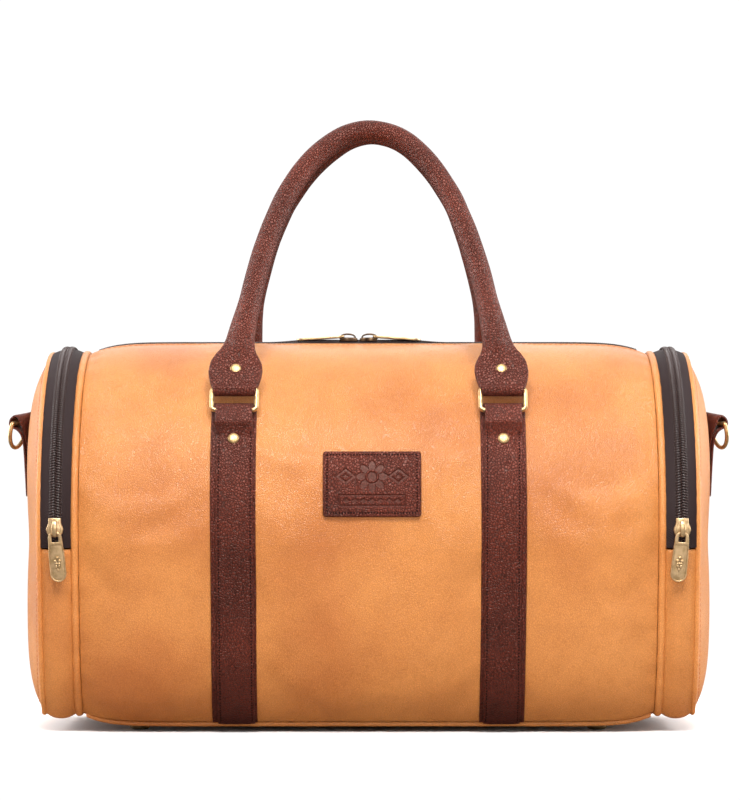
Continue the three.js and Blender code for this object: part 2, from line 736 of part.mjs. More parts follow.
function strap(x) {
  const x0 = x - STRAP_TOP_W / 2;
  const x1 = x + STRAP_TOP_W / 2;
  const backing = sweep(
    flatLayer(x, STRAP_BACK_W, OVERLAY_D, BACKING_D),
    stations(STRAP_FOOT_PHI, BACKING_END_PHI),
  );
  const upper = sweep(
    flatLayer(x, STRAP_TOP_W, BACKING_D - LAP, STRAP_D),
    stations(STRAP_FOOT_PHI, STRAP_END_PHI),
  );
  const [barY, barZ] = BAR_LOW;
  const circle = (r) =>
    Array.from({ length: 12 }, (_, i) => {
      const angle = (i * 2 * Math.PI) / 12;
      return [barY + r * Math.cos(angle), barZ + r * Math.sin(angle)];
    });
  const fold = alongX(circle(STRAP_FOLD_R), x0, x1);
  // fills in between the strap and the fold
  const barD = Math.hypot(barY, barZ - BODY_ZC) - BODY_R;
  const barPhi = Math.atan2(barY, barZ - BODY_ZC) / DEG;
  const flare = alongX(
    [
      at(barPhi - 0.2, barD + STRAP_FOLD_R - LAP),
      at(barPhi + 0.8, BACKING_D + 0.1),
      at(-62.5, BACKING_D + 0.1),
      at(-62.5, STRAP_D),
      at(-60.2, 6.4),
    ],
    x0,
    x1,
  );
  const barHole = alongX(circle(BAR_BORE_R), x0 - 2, x1 + 2);
  const drill = place(rivetDrill(14), strapRivetFrame(x));
  return cut(join(backing, upper, fold, flare), barHole, drill);
}

// Rivet: domed head on the outside, shank, and on some a small flange behind
const RIVET_R = 4;
const SHANK_R = 1.2;
function rivet(shank, flange) {
  const tail = flange
    ? [
        [3.4, -shank],
        [3.4, -shank - 0.8],
        [0, -shank - 1.2],
      ]
    : [[0, -shank]];
  const outline = [
    [0, 1.9],
    [RIVET_R - 1.4, 1.7],
    [RIVET_R, 0.7],
    [RIVET_R, 0.3],
    [SHANK_R, 0.3],
    [SHANK_R, -shank],
    ...tail,
  ];
  return lathe(outline, 10).rotateX(Math.PI / 2);
}

// ---------------------------------------------------------------- rings
const RING_W = 31.5; // between wire centres
const RING_WIRE = 1.75;
const RING_CORNER_R = 2.6;
const RING_H = Math.hypot(BAR_UP[0] - BAR_LOW[0], BAR_UP[1] - BAR_LOW[1]);
function ringPath() {
  const r = RING_CORNER_R;
  const right = RING_W / 2 - r;
  // columns: corner centre, and the angle its arc starts at
  const corners = [
    [right, r, -90],
    [right, RING_H - r, 0],
    [-right, RING_H - r, 90],
    [-right, r, 180],
  ];
  return corners.flatMap(([x, y, start]) =>
    [0, 45, 90].map((turn) => {
      const angle = (start + turn) * DEG;
      return [x + r * Math.cos(angle), y + r * Math.sin(angle)];
    }),
  );
}
const ringLocal = wire(ringPath(), RING_WIRE);
const RING_RISE = [(BAR_UP[0] - BAR_LOW[0]) / RING_H, (BAR_UP[1] - BAR_LOW[1]) / RING_H];
const ringFrame = (x) => ({
  origin: [x, ...BAR_LOW],
  across: [1, 0, 0],
  along: [0, ...RING_RISE],
  outward: [0, -RING_RISE[1], RING_RISE[0]],
});

// ---------------------------------------------------------------- handles
// Right half of the centre line in the handle's own plane: [x, v], v from the
// ring's upper bar.
const HANDLE_HALF = [
  [0, 212.5], [15.5, 209.6], [28.2, 202.2], [39.4, 190.8], [47.7, 179.1],
  [54.6, 166.9], [60.8, 154.7], [65.5, 142.6], [70.0, 130.4], [73.7, 118.2],
  [77.1, 106], [80.1, 93.8], [82.7, 81.7], [85.0, 69.5], [87.7, 57.1],
  [90.6, 42], [92.1, 33], [93.0, 26], [93.7, 19.5], [94.4, 12], [94.9, 2.7],
];
// Columns: v, width across, depth of the section
const HANDLE_SIZES = [
  [2.7, 30.5, 5.2],
  [12, 38, 5.6],
  [19.5, 36.4, 6.8],
  [26, 30.4, 8.4],
  [33, 22.8, 10.8],
  [42, 19.8, 12.8],
  [57, 17.6, 14.6],
  [70, 16.0, 15.3],
  [400, 15.4, 15.4],
];
const HANDLE_LEAN = 25.6 * DEG; // towards the middle of the bag
const HANDLE_EYE = { r: 4.1, length: 27.4 }; // round the ring's upper bar
const HANDLE_RIVET_X = 94.3;
const HANDLE_RIVET_V = 14.5; // from the ring bar up the handle tab
// The grips are soft and neither hangs quite true: both sag a little on the left
// of the top, and the rear one stands wider and a touch to the right.
const SAG = { depth: 1.9, x: -27, spread: 14, aboveV: 120 };
const REAR_SPREAD = 3.4;
const REAR_SHIFT = 1.8;

function handleSize(v) {
  const i = HANDLE_SIZES.findIndex((row, n) => n > 0 && v <= row[0]);
  const [v0, width0, depth0] = HANDLE_SIZES[i - 1];
  const [v1, width1, depth1] = HANDLE_SIZES[i];
  const t = (v - v0) / (v1 - v0);
  return [width0 + (width1 - width0) * t, depth0 + (depth1 - depth0) * t];
}

function handleLine(face) {
  // the rear handle is turned half round later, which swaps its left and right
  const way = face === "front" ? 1 : -1;
  const left = HANDLE_HALF.slice(1).reverse().map(([x, v]) => [-x, v]);
  return [...left, ...HANDLE_HALF].map(([x, v]) => {
    const fromSag = (way * x - SAG.x) / SAG.spread;
    const sag = v > SAG.aboveV ? SAG.depth * Math.exp(-Math.pow(fromSag, 2)) : 0;
    if (face === "front") return [x, v - sag];
    const spread = REAR_SPREAD * ease((v - 35) / 45) * ease((205 - v) / 60);
    const shift = way * REAR_SHIFT * ease((v - 110) / 80);
    return [x + Math.sign(x) * spread + shift, v - sag];
  });
}

function grip(line) {
  const last = line.length - 1;
  return warp(new THREE.CylinderGeometry(1, 1, last, 8, last), (a, along, b) => {
    const k = Math.round(along + last / 2);
    const before = line[Math.max(0, k - 1)];
    const after = line[Math.min(last, k + 1)];
    const [x, v] = line[k];
    let [dx, dv] = [after[0] - before[0], after[1] - before[1]];
    // both ends are cut square to the handle's own v axis
    if (k === 0) [dx, dv] = [0, 1];
    if (k === last) [dx, dv] = [0, -1];
    const length = Math.hypot(dx, dv);
    const [width, depth] = handleSize(v);
    // flat tabs are nearly rectangular, the grip is round
    const roundness = Math.min(1, Math.max(0, (v - 12) / 45));
    const onRim = Math.hypot(a, b) > 0.5;
    const power = roundness < 1 && onRim ? 0.55 + 0.45 * roundness : 1;
    const squared = (value) => Math.sign(value) * Math.pow(Math.abs(value), power);
    const across = squared(a) * (width / 2);
    return [
      x + (dv / length) * across,
      v - (dx / length) * across,
      squared(b) * (depth / 2),
    ];
  });
}

function handleLocal(face) {
  const barRod = (r, x, length) =>
    new THREE.CylinderGeometry(r, r, length, 12).rotateZ(Math.PI / 2).translate(x, 0, 0);
  const eyes = [-1, 1].map((s) => barRod(HANDLE_EYE.r, s * RING_X, HANDLE_EYE.length));
  const holes = [-1, 1].flatMap((s) => [
    barRod(BAR_BORE_R, s * RING_X, 40),
    rivetDrill(20).translate(s * HANDLE_RIVET_X, HANDLE_RIVET_V, 0),
  ]);
  return cut(join(grip(handleLine(face)), ...eyes), ...holes);
}

const handleFrame = {
  origin: [0, ...BAR_UP],
  across: [1, 0, 0],
  along: [0, Math.sin(HANDLE_LEAN), Math.cos(HANDLE_LEAN)],
  outward: [0, -Math.cos(HANDLE_LEAN), Math.sin(HANDLE_LEAN)],
};
const strapRivet = (x) => place(rivet(3, false), strapRivetFrame(x));
// the head sits on the tab's outer face
const handleRivet = (sign) =>
  place(
    rivet(7.1, true).translate(sign * HANDLE_RIVET_X, HANDLE_RIVET_V, 3.4),
    handleFrame,
  );

for (const [face, flip] of [
  ["front", asIs],
  ["rear", turned],
]) {
  add(face + "_handle", flip(place(handleLocal(face), handleFrame)), DARK);
  for (const [side, signX] of SIDES) {
    const sign = face === "front" ? signX : -signX;
    const x = sign * RING_X;
    const tag = `${face}_${side}`;
    add(tag + "_ring", flip(place(ringLocal, ringFrame(x))), BRASS);
    add(tag + "_strap", flip(strap(x)), DARK);
    add(tag + "_strap_rivet", flip(strapRivet(x)), BRASS);
    add(tag + "_handle_rivet", flip(handleRivet(sign)), BRASS);
  }
}

// ---------------------------------------------------------------- patch
const PATCH_X = 2.5;
const PATCH_W = 69;
const PATCH_PHI = [-89.6, -68.6]; // lower and upper edge
const PATCH_CORNER = 0.8; // degrees over which the corners are cut
const PATCH_NARROWING = 0.95; // of the width, at both edges
const makerPatch = () =>
  sweep(
    flatLayer(0, PATCH_W, OVERLAY_D, OVERLAY_D + OVERLAY_T),
    [
      PATCH_PHI[0],
      PATCH_PHI[0] + PATCH_CORNER,
      -80,
      PATCH_PHI[1] - PATCH_CORNER,
      PATCH_PHI[1],
    ],
    (x, k, last) => PATCH_X + (k === 0 || k === last ? x * PATCH_NARROWING : x),
  );
add("maker_patch", makerPatch(), DARK);

export default root;
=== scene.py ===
"""A leather barrel bag with two ring-hung handles, a main zip and a zipped pocket at each end.

The barrel lies along X, its front faces -Y and Z is up; the feet stand on z = 0. Lengths are in
millimetres until make() turns them into metres. Places on the barrel are given by x, by phi
(degrees round the cross-section from the top, front negative) or s (the same as an arc length),
and by an offset along the outward normal.
"""

import math

import bmesh
import bpy
import numpy as np
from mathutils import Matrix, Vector


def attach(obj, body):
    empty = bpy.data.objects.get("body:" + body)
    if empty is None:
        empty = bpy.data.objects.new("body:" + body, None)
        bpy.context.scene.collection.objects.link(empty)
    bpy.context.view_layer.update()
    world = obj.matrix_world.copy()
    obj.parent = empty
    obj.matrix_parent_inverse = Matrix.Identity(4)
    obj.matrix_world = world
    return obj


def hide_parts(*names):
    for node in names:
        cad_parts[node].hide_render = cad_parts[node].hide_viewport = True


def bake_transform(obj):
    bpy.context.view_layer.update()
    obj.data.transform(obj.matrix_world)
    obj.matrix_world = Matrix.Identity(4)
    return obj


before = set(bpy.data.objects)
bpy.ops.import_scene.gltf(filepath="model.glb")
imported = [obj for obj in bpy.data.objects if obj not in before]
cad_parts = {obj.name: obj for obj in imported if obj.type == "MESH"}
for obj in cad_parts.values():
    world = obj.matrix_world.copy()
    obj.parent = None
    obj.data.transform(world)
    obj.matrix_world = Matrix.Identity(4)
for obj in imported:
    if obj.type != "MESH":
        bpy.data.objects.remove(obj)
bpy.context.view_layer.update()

MM = 0.001
DEG = math.pi / 180

# ---------------------------------------------------------------- driving sizes
# Barrel cross-section: a circle, a flank curve, a rounded corner and a flat floor
BODY_R = 128.0
BODY_Z = 153.0
FLOOR_Z = 5.0
FLOOR_HALF = 74.0
CORNER_R = 14.0
CORNER_FROM = -49 * DEG  # direction of the normal where the corner starts
CIRCLE_END, FLANK_END, CORNER_END = 100, 150, 160  # phi

# Barrel along X: it narrows towards its ends
BARREL_HALF = 204.0
CROWN_FROM = 110.0
CROWN_DROP = 8.0

# Skins and main zip
SKIN = 2.4
PANEL_PHI = 4.9  # edge of the front and rear skins beside the main zip
ZIP_STITCH = 3.2  # stitch row, from that edge
MAIN_TAPE = 11.3
TAPE_THICK = 0.9

# End pockets
SEAM_X, SEAM_R, SEAM_OFFSET = 207.0, 2.75, -8.5
EDGE_X, EDGE_R = 232.0, 1.9
BAND_IN, BAND_OUT = 210.3, 229.7
ZIP_X = (BAND_IN + BAND_OUT) / 2
ZIP_END = 99.8  # phi of the pocket zip's ends
DOME_X, DOME_H = 233.2, 15.2
DOME_POWER, DOME_SIDE_POWER = 6.0, 2.2
DOME_Z = 140.0
DOME_OFFSET = -10.9
DOME_STITCH = 0.955  # share of the way from the dome's middle to its rim

# End tab and D-ring
D_BAR = (258.0, 221.6)  # x, z
D_TURN = 20 * DEG
D_HANG = 10 * DEG
TWIST = math.tan(D_TURN)

# Straps, rings and handles
RING_X = 95.0
BAR_LOW = np.array([-110.5, 229.5])  # y, z of the front rings' lower bars
BAR_UP = np.array([-103.5, 245.0])
HANDLE_LEAN = 25.6 * DEG
HANDLE_RIVET = 14.5
HANDLE_RIVET_X = 94.3

# Patch on the front
PATCH_X, PATCH_PHI = 2.5, 79.1
PATCH_W, PATCH_H = 69.0, 46.8
PATCH_INSET = 2.9  # stitch rows, from the patch's edges

# Stitches that several seams share
SEAM_STITCH = dict(length=2.9, radius=0.33)


# ---------------------------------------------------------- barrel cross-section
FLANK_IN = (
    BODY_R * math.sin(CIRCLE_END * DEG),
    BODY_Z + BODY_R * math.cos(CIRCLE_END * DEG),
)
FLANK_OUT = (
    FLOOR_HALF + CORNER_R * math.cos(CORNER_FROM),
    FLOOR_Z + CORNER_R + CORNER_R * math.sin(CORNER_FROM),
)
HANDLE_IN, HANDLE_OUT = 45, 42  # lengths of the flank curve's Bezier handles
FLANK = (
    FLANK_IN,
    (FLANK_IN[0] + HANDLE_IN * math.cos(CIRCLE_END * DEG),
     FLANK_IN[1] - HANDLE_IN * math.sin(CIRCLE_END * DEG)),
    (FLANK_OUT[0] - HANDLE_OUT * math.sin(CORNER_FROM),
     FLANK_OUT[1] + HANDLE_OUT * math.cos(CORNER_FROM)),
    FLANK_OUT,
)


def profile(phi):
    """y, z and the outward normal's y, z at phi."""
    folded = (np.asarray(phi, float) + 180.0) % 360.0 - 180.0
    a = np.abs(folded)
    side = np.where(folded < 0, -1.0, 1.0)
    y, z, ny, nz = (np.zeros_like(a) for _ in range(4))

    m = a <= CIRCLE_END
    ny[m] = np.sin(a[m] * DEG)
    nz[m] = np.cos(a[m] * DEG)
    y[m] = BODY_R * ny[m]
    z[m] = BODY_Z + BODY_R * nz[m]

    m = (a > CIRCLE_END) & (a <= FLANK_END)
    t = (a[m] - CIRCLE_END) / (FLANK_END - CIRCLE_END)
    u = 1 - t
    weights = (u**3, 3 * u * u * t, 3 * u * t * t, t**3)
    slopes = (u * u, 2 * u * t, t * t)
    y[m], z[m] = (sum(w * p[i] for w, p in zip(weights, FLANK)) for i in (0, 1))
    dy, dz = (
        sum(w * (q[i] - p[i]) for w, p, q in zip(slopes, FLANK, FLANK[1:])) for i in (0, 1)
    )
    length = np.hypot(dy, dz)
    ny[m] = -dz / length
    nz[m] = dy / length

    m = (a > FLANK_END) & (a <= CORNER_END)
    share = (a[m] - FLANK_END) / (CORNER_END - FLANK_END)
    b = CORNER_FROM + share * (-90 * DEG - CORNER_FROM)
    ny[m] = np.cos(b)
    nz[m] = np.sin(b)
    y[m] = FLOOR_HALF + CORNER_R * ny[m]
    z[m] = FLOOR_Z + CORNER_R + CORNER_R * nz[m]

    m = a > CORNER_END
    y[m] = FLOOR_HALF * (180 - a[m]) / (180 - CORNER_END)
    z[m] = FLOOR_Z
    nz[m] = -1.0
    return y * side, z, ny * side, nz


PHI_TABLE = np.linspace(0, 180, 7201)
_y, _z, _, _ = profile(PHI_TABLE)
ARC_TABLE = np.concatenate([[0], np.cumsum(np.hypot(np.diff(_y), np.diff(_z)))])
ARC_END = ARC_TABLE[-1]


def phi_at(s):
    """phi for a signed arc length from the top."""
    s = np.asarray(s, float)
    return np.sign(s) * np.interp(np.abs(s), ARC_TABLE, PHI_TABLE)


def phi_around(s):
    """phi for an arc length that may run on past the middle of the floor."""
    return np.where(s <= ARC_END, phi_at(s), 360 - phi_at(2 * ARC_END - s))


def arc_at(phi):
    phi = np.asarray(phi, float)
    return np.sign(phi) * np.interp(np.abs(phi), PHI_TABLE, ARC_TABLE)


def on_body(x, phi, offset):
    """Points at x and phi, offset outwards from the barrel curve."""
    x, phi, offset = np.broadcast_arrays(*(np.asarray(k, float) for k in (x, phi, offset)))
    y, z, ny, nz = profile(phi)
    return np.stack([x, y + ny * offset, z + nz * offset], -1)


def body_axes(phi):
    """Directions round the barrel and out of it, for an array of phi."""
    _, _, ny, nz = profile(phi)
    return np.stack([0 * ny, nz, -ny], 1), np.stack([0 * ny, ny, nz], 1)


def circle_axes(angle):
    """Direction of growing phi and outward normal on the round part; angle in radians."""
    return (0, math.cos(angle), -math.sin(angle)), (0, math.sin(angle), math.cos(angle))


def crown(x):
    t = np.clip((np.abs(x) - CROWN_FROM) / (BARREL_HALF - CROWN_FROM), 0, None)
    return -CROWN_DROP * t**6


def smooth(t):
    t = np.clip(t, 0, 1)
    return t * t * (3 - 2 * t)


def waves(seed, count, low, high):
    """A fixed set of plane waves: two wave numbers and a phase each."""
    random = np.random.default_rng(seed)
    k = random.uniform(low, high, count)
    direction = random.uniform(0, 2 * np.pi, count)
    phase = random.uniform(0, 2 * np.pi, count)
    return np.stack([k * np.cos(direction), k * np.sin(direction), phase], 1)


def wave_noise(u, v, table):
    total = 0
    for ku, kv, phase in table:
        total = total + np.sin(u * ku + v * kv + phase)
    return total / math.sqrt(len(table))


# ----------------------------------------------------------------- mesh helpers
# A geometry is a pair: vertex array in mm, list of faces.
def face_outwards(verts, faces):
    """Reverse all faces if they enclose a negative volume."""
    volume = 0.0
    quads = np.array([f for f in faces if len(f) == 4], int).reshape(-1, 4)
    tris = np.array([f for f in faces if len(f) == 3], int).reshape(-1, 3)
    for tri in (quads[:, [0, 1, 2]], quads[:, [0, 2, 3]], tris):
        if len(tri):
            a, b, c = (verts[tri[:, i]] for i in range(3))
            volume += np.einsum("ij,ij->i", a, np.cross(b, c)).sum()
    if volume < 0:
        return [tuple(reversed(f)) for f in faces]
    return faces


def link(name, data):
    ob = bpy.data.objects.new(name, data)
    bpy.context.scene.collection.objects.link(ob)
    return ob


def make(name, geometry, material, sharp=38, flip=True, move=np.asarray):
    """A smooth-shaded object; edges sharper than `sharp` degrees stay sharp."""
    verts, faces = geometry
    verts = np.asarray(move(verts), float)
    if flip:
        faces = face_outwards(verts, faces)
    mesh = bpy.data.meshes.new(name)
    mesh.from_pydata((verts * MM).tolist(), [], [list(map(int, f)) for f in faces])
    mesh.materials.append(material)
    mesh.polygons.foreach_set("use_smooth", [True] * len(mesh.polygons))
    if sharp:
        mesh.set_sharp_from_angle(angle=sharp * DEG)
    mesh.update()
    return link(name, mesh)


def loft(sections, closed=False, capped=True, hubs=None):
    """A tube through sections[n, m, 3]; its ends close in bands or in fans round two hubs."""
    S = np.asarray(sections, float)
    count, size = S.shape[:2]
    verts = S.reshape(-1, 3)
    faces = []
    for i in range(count if closed else count - 1):
        a = i * size
        b = ((i + 1) % count) * size
        for j in range(size):
            k = (j + 1) % size
            faces.append((a + j, a + k, b + k, b + j))
    if closed or not capped:
        return verts, faces
    last = (count - 1) * size
    spread = np.abs(S[0] - S[0][::-1]).max()
    if size % 2 == 0 and spread < 0.2 * np.ptp(S[0], axis=0).max():
        # a thin band: its ends close from the outer edge to the inner one
        for j in range(size // 2 - 1):
            faces.append((size - 1 - j, size - 2 - j, j + 1, j))
            faces.append((last + j, last + j + 1, last + size - 2 - j, last + size - 1 - j))
        return verts, faces
    verts = np.vstack([verts, *(hubs or (S[0].mean(0), S[-1].mean(0)))])
    first_hub = count * size
    for j in range(size):
        k = (j + 1) % size
        faces.append((first_hub, k, j))
        faces.append((first_hub + 1, last + j, last + k))
    return verts, faces


def revolve(outline, segments=40):
    """Turn (radius, z) pairs round Z; the first and last pairs lie on the axis."""
    verts = [(0, 0, outline[0][1])]
    for radius, z in outline[1:-1]:
        for k in range(segments):
            a = 2 * math.pi * k / segments
            verts.append((radius * math.cos(a), radius * math.sin(a), z))
    verts.append((0, 0, outline[-1][1]))
    rings = len(outline) - 2
    end = 1 + (rings - 1) * segments
    faces = []
    for k in range(segments):
        q = (k + 1) % segments
        faces.append((0, 1 + q, 1 + k))
        for i in range(rings - 1):
            a = 1 + i * segments
            b = a + segments
            faces.append((a + k, a + q, b + q, b + k))
        faces.append((len(verts) - 1, end + k, end + q))
    if outline[0][1] > outline[-1][1]:
        # an outline that runs downwards needs the other winding
        faces = [(f[0], *f[:0:-1]) for f in faces]
    return np.array(verts, float), faces


def merge(parts):
    verts, faces, start = [], [], 0
    for part_verts, part_faces in parts:
        verts.append(part_verts)
        faces += [tuple(i + start for i in f) for f in part_faces]
        start += len(part_verts)
    return np.vstack(verts), faces


def scatter(piece, centres, along, across, up):
    """Copies of a small geometry at centres, its x, y, z laid on three directions."""
    verts, faces = piece
    size = len(verts)
    placed = (
        centres[:, None, :]
        + verts[None, :, 0:1] * along[:, None, :]
        + verts[None, :, 1:2] * across[:, None, :]
        + verts[None, :, 2:3] * up[:, None, :]
    )
    copies = [tuple(k + i * size for k in f) for i in range(len(centres)) for f in faces]
    return placed.reshape(-1, 3), copies


def place(geometry, origin, u, v, n):
    """Lay a geometry's x, y, z along u, v, n from origin."""
    axes = np.stack([np.array(a, float) / np.linalg.norm(a) for a in (u, v, n)])
    return np.asarray(geometry[0], float) @ axes + np.asarray(origin, float), geometry[1]


def shifted(geometry, shift):
    return geometry[0] + shift, geometry[1]


def half_turn(verts):
    """Half a turn about Z: front to rear."""
    return np.asarray(verts) * [-1, -1, 1]


def mirror(verts):
    """Right to left."""
    return np.asarray(verts) * [-1, 1, 1]


SIDES = (("right", np.asarray), ("left", mirror))


def circle(count):
    return np.arange(count) * 2 * np.pi / count


def arc(cx, cy, radius, start, end, count):
    return [
        (cx + radius * math.cos(a * DEG), cy + radius * math.sin(a * DEG))
        for a in np.linspace(start, end, count)
    ]


def band(across, top, bottom):
    """Closed section: along the top, then back along the bottom."""
    return np.stack(
        [np.concatenate([across, across[::-1]]), np.concatenate([top, bottom[::-1]])], 1
    )


def rounded_rect(x0, x1, y0, y1, radius, side_points, corner_steps):
    """Anticlockwise loop, with extra points along the top and bottom sides."""
    r = min(radius, (x1 - x0) / 2 - 1e-3, (y1 - y0) / 2 - 1e-3)
    between = np.linspace(0, 1, side_points + 2)[1:-1]
    left, right = x0 + r, x1 - r
    points = arc(right, y0 + r, r, -90, 0, corner_steps + 1)
    points += arc(right, y1 - r, r, 0, 90, corner_steps + 1)
    points += [(right + (left - right) * t, y1) for t in between]
    points += arc(left, y1 - r, r, 90, 180, corner_steps + 1)
    points += arc(left, y0 + r, r, 180, 270, corner_steps + 1)
    points += [(left + (right - left) * t, y0) for t in between]
    return np.array(points)


def catmull(points, steps):
    """Catmull-Rom curve with `steps` points per span."""
    P = np.asarray(points, float)
    Q = np.vstack([2 * P[0] - P[1], P, 2 * P[-1] - P[-2]])
    curve = []
    for a, b, c, d in zip(Q, Q[1:], Q[2:], Q[3:]):
        for t in np.linspace(0, 1, steps, endpoint=False):
            curve.append(0.5 * (
                2 * b + (c - a) * t + (2 * a - 5 * b + 4 * c - d) * t * t
                + (3 * b - a - 3 * c + d) * t**3
            ))
    curve.append(P[-1])
    return np.array(curve)


def resample(points, step=None, count=None):
    """Evenly spaced points along a polyline, and their distances along it."""
    P = np.asarray(points, float)
    s = np.concatenate([[0], np.cumsum(np.linalg.norm(np.diff(P, axis=0), axis=1))])
    if count is None:
        count = max(2, int(round(s[-1] / step)) + 1)
    t = np.linspace(0, s[-1], count)
    return np.stack([np.interp(t, s, P[:, i]) for i in range(P.shape[1])], 1), t


def tangents(points):
    T = np.gradient(points, axis=0)
    return T / np.linalg.norm(T, axis=1)[:, None]


def nearest(values, wanted):
    return int(np.argmin(abs(values - wanted)))


def wire(path, radius, count, sides=18):
    """A closed wire of round section along a flat outline."""
    P = resample(path + [path[0]], count=count + 1)[0][:-1]
    T = np.roll(P, -1, 0) - np.roll(P, 1, 0)
    T /= np.linalg.norm(T, axis=1)[:, None]
    out, up = radius * np.cos(circle(sides)), radius * np.sin(circle(sides))
    return loft(
        [np.stack([p[0] + t[1] * out, p[1] - t[0] * out, up], 1) for p, t in zip(P, T)],
        closed=True,
    )


# Rings of a stitch: place along it and thickness, as shares of half length and radius
STITCH_RINGS = [(-0.82, 0.75), (-0.35, 1.0), (0.35, 1.0), (0.82, 0.75)]


def stitches(centres, along, normals, length, radius, tilt=0.0, sink=0.1):
    """Short arched threads, tilted by `tilt` radians and sunk into the surface."""
    C, T, N = (np.asarray(k, float) for k in (centres, along, normals))
    T = T * math.cos(tilt) + np.cross(N, T) * math.sin(tilt)
    sides = 6
    rows = []
    for at, share in STITCH_RINGS:
        arch = (1 - at * at) * radius * 0.7
        for a in circle(sides):
            up = share * radius * math.sin(a) * 0.8 + arch - sink
            rows.append((at * length / 2, share * radius * math.cos(a), up))
    rows.append((-length / 2, 0, -sink - radius * 0.4))
    rows.append((length / 2, 0, -sink - radius * 0.4))
    tip = len(rows) - 1
    end = (len(STITCH_RINGS) - 1) * sides
    faces = []
    for i in range(0, end, sides):
        for k in range(sides):
            q = (k + 1) % sides
            faces.append((i + k, i + q, i + sides + q, i + sides + k))
    for k in range(sides):
        q = (k + 1) % sides
        faces.append((tip - 1, q, k))
        faces.append((tip, end + k, end + q))
    return scatter((np.array(rows), faces), C, T, np.cross(N, T), N)


# --------------------------------------------------------------- shader helpers
def set_inputs(tree, target, inputs):
    """Link sockets and set plain values; colours are given without alpha."""
    for key, value in inputs.items():
        socket = target.inputs[key]
        if isinstance(value, bpy.types.NodeSocket):
            tree.links.new(value, socket)
        elif socket.type == "RGBA":
            socket.default_value = (*value, 1)
        else:
            socket.default_value = value


def node(tree, kind, inputs=None, **settings):
    new = tree.nodes.new("ShaderNode" + kind)
    for key, value in settings.items():
        setattr(new, key, value)
    set_inputs(tree, new, inputs or {})
    return new


def new_material(name):
    material = bpy.data.materials.new(name)
    material.use_nodes = True
    tree = material.node_tree
    tree.nodes.clear()
    output = node(tree, "OutputMaterial")
    shader = node(tree, "BsdfPrincipled")
    tree.links.new(shader.outputs[0], output.inputs[0])
    return material, tree, shader


def object_coords(tree):
    return node(tree, "TexCoord").outputs["Object"]


def noise(tree, vector, scale, detail=3, roughness=0.5):
    inputs = {"Vector": vector, "Scale": scale, "Detail": detail, "Roughness": roughness}
    return node(tree, "TexNoise", inputs).outputs["Fac"]


def cell_edges(tree, vector, scale):
    inputs = {"Vector": vector, "Scale": scale}
    return node(tree, "TexVoronoi", inputs, feature="DISTANCE_TO_EDGE").outputs["Distance"]


def ramp(tree, factor, *stops):
    """Colour ramp; a stop is a position with a colour or a grey."""
    new = node(tree, "ValToRGB", {"Fac": factor})
    elements = new.color_ramp.elements
    while len(elements) < len(stops):
        elements.new(0.5)
    for i, (position, colour) in enumerate(stops):
        if not isinstance(colour, tuple):
            colour = (colour,) * 3
        elements[i].position = position
        elements[i].color = (*colour, 1)
    return new.outputs["Color"]


def calculate(tree, operation, a, b):
    return node(tree, "Math", {0: a, 1: b}, operation=operation).outputs[0]


def bump(tree, height, strength, depth, normal=None):
    inputs = {"Strength": strength, "Distance": depth, "Height": height}
    if normal is not None:
        inputs["Normal"] = normal
    return node(tree, "Bump", inputs).outputs["Normal"]


def mapping(tree, vector, scale, rotation=(0, 0, 0)):
    inputs = {"Vector": vector, "Scale": scale, "Rotation": rotation}
    return node(tree, "Mapping", inputs).outputs[0]


def warped(tree, vector, scale, amount):
    """Coordinates pushed about by noise."""
    push = node(tree, "TexNoise", {"Scale": scale, "Vector": vector}).outputs["Color"]
    push = node(tree, "VectorMath", {0: push, "Scale": amount}, operation="SCALE").outputs[0]
    return node(tree, "VectorMath", {0: vector, 1: push}, operation="ADD").outputs[0]


def mix(tree, factor, a, b, mode="MIX"):
    inputs = {0: factor, 6: a, 7: b}  # 6 and 7 are the colour sockets
    return node(tree, "Mix", inputs, data_type="RGBA", blend_type=mode).outputs[2]


def linear(red, green, blue):
    """Linear colour from 0-255 sRGB values."""
    shares = (c / 255 for c in (red, green, blue))
    return tuple(c / 12.92 if c <= 0.04045 else ((c + 0.055) / 1.055) ** 2.4 for c in shares)


# -------------------------------------------------------------------- materials
def tan_leather(name, base, dark):
    """Smooth leather with fine creases between small, slightly stretched cells, and painted shade
    in the creases.
    """
    material, tree, shader = new_material(name)
    coords = object_coords(tree)
    broad = noise(tree, coords, scale=8)
    medium = noise(tree, coords, scale=55, roughness=0.6)
    light = (base[0] + 5, base[1] + 7, base[2] + 7)
    colour = ramp(
        tree, broad, (0.35, linear(*dark)), (0.55, linear(*base)), (0.75, linear(*light))
    )
    flecks = ramp(tree, medium, (0.35, (0.93, 0.91, 0.89)), (0.6, 1))
    colour = mix(tree, 1.0, colour, flecks, "MULTIPLY")
    stretched = mapping(tree, coords, scale=(1.0, 1.0, 0.72), rotation=(0.35, 0.2, 0.5))
    cells = cell_edges(tree, warped(tree, stretched, scale=210, amount=0.0012), scale=820)
    fine = noise(tree, coords, scale=1700, detail=2, roughness=0.6)
    plates = ramp(tree, cells, (0.0, 0), (0.22, 0.8), (0.5, 1))
    height = calculate(tree, "ADD", plates, calculate(tree, "MULTIPLY", fine, 0.55))
    # painted shade: the colour darkens in the creases between cells and lifts a little on the cell
    # tops
    crease_shade = ramp(
        tree, cells,
        (0.0, (0.76, 0.68, 0.62)), (0.16, (0.96, 0.94, 0.93)), (0.4, (1.05, 1.06, 1.08)),
    )
    soft = bump(tree, medium, strength=0.18, depth=0.0012)
    set_inputs(tree, shader, {
        "Base Color": mix(tree, 0.9, colour, crease_shade, "MULTIPLY"),
        "Normal": bump(tree, height, strength=0.75, depth=0.00027, normal=soft),
        "Roughness": ramp(tree, broad, (0.3, 0.36), (0.7, 0.29)),
        "Specular IOR Level": 0.60,
        "Specular Tint": (1.0, 0.95, 0.87),
    })
    return material


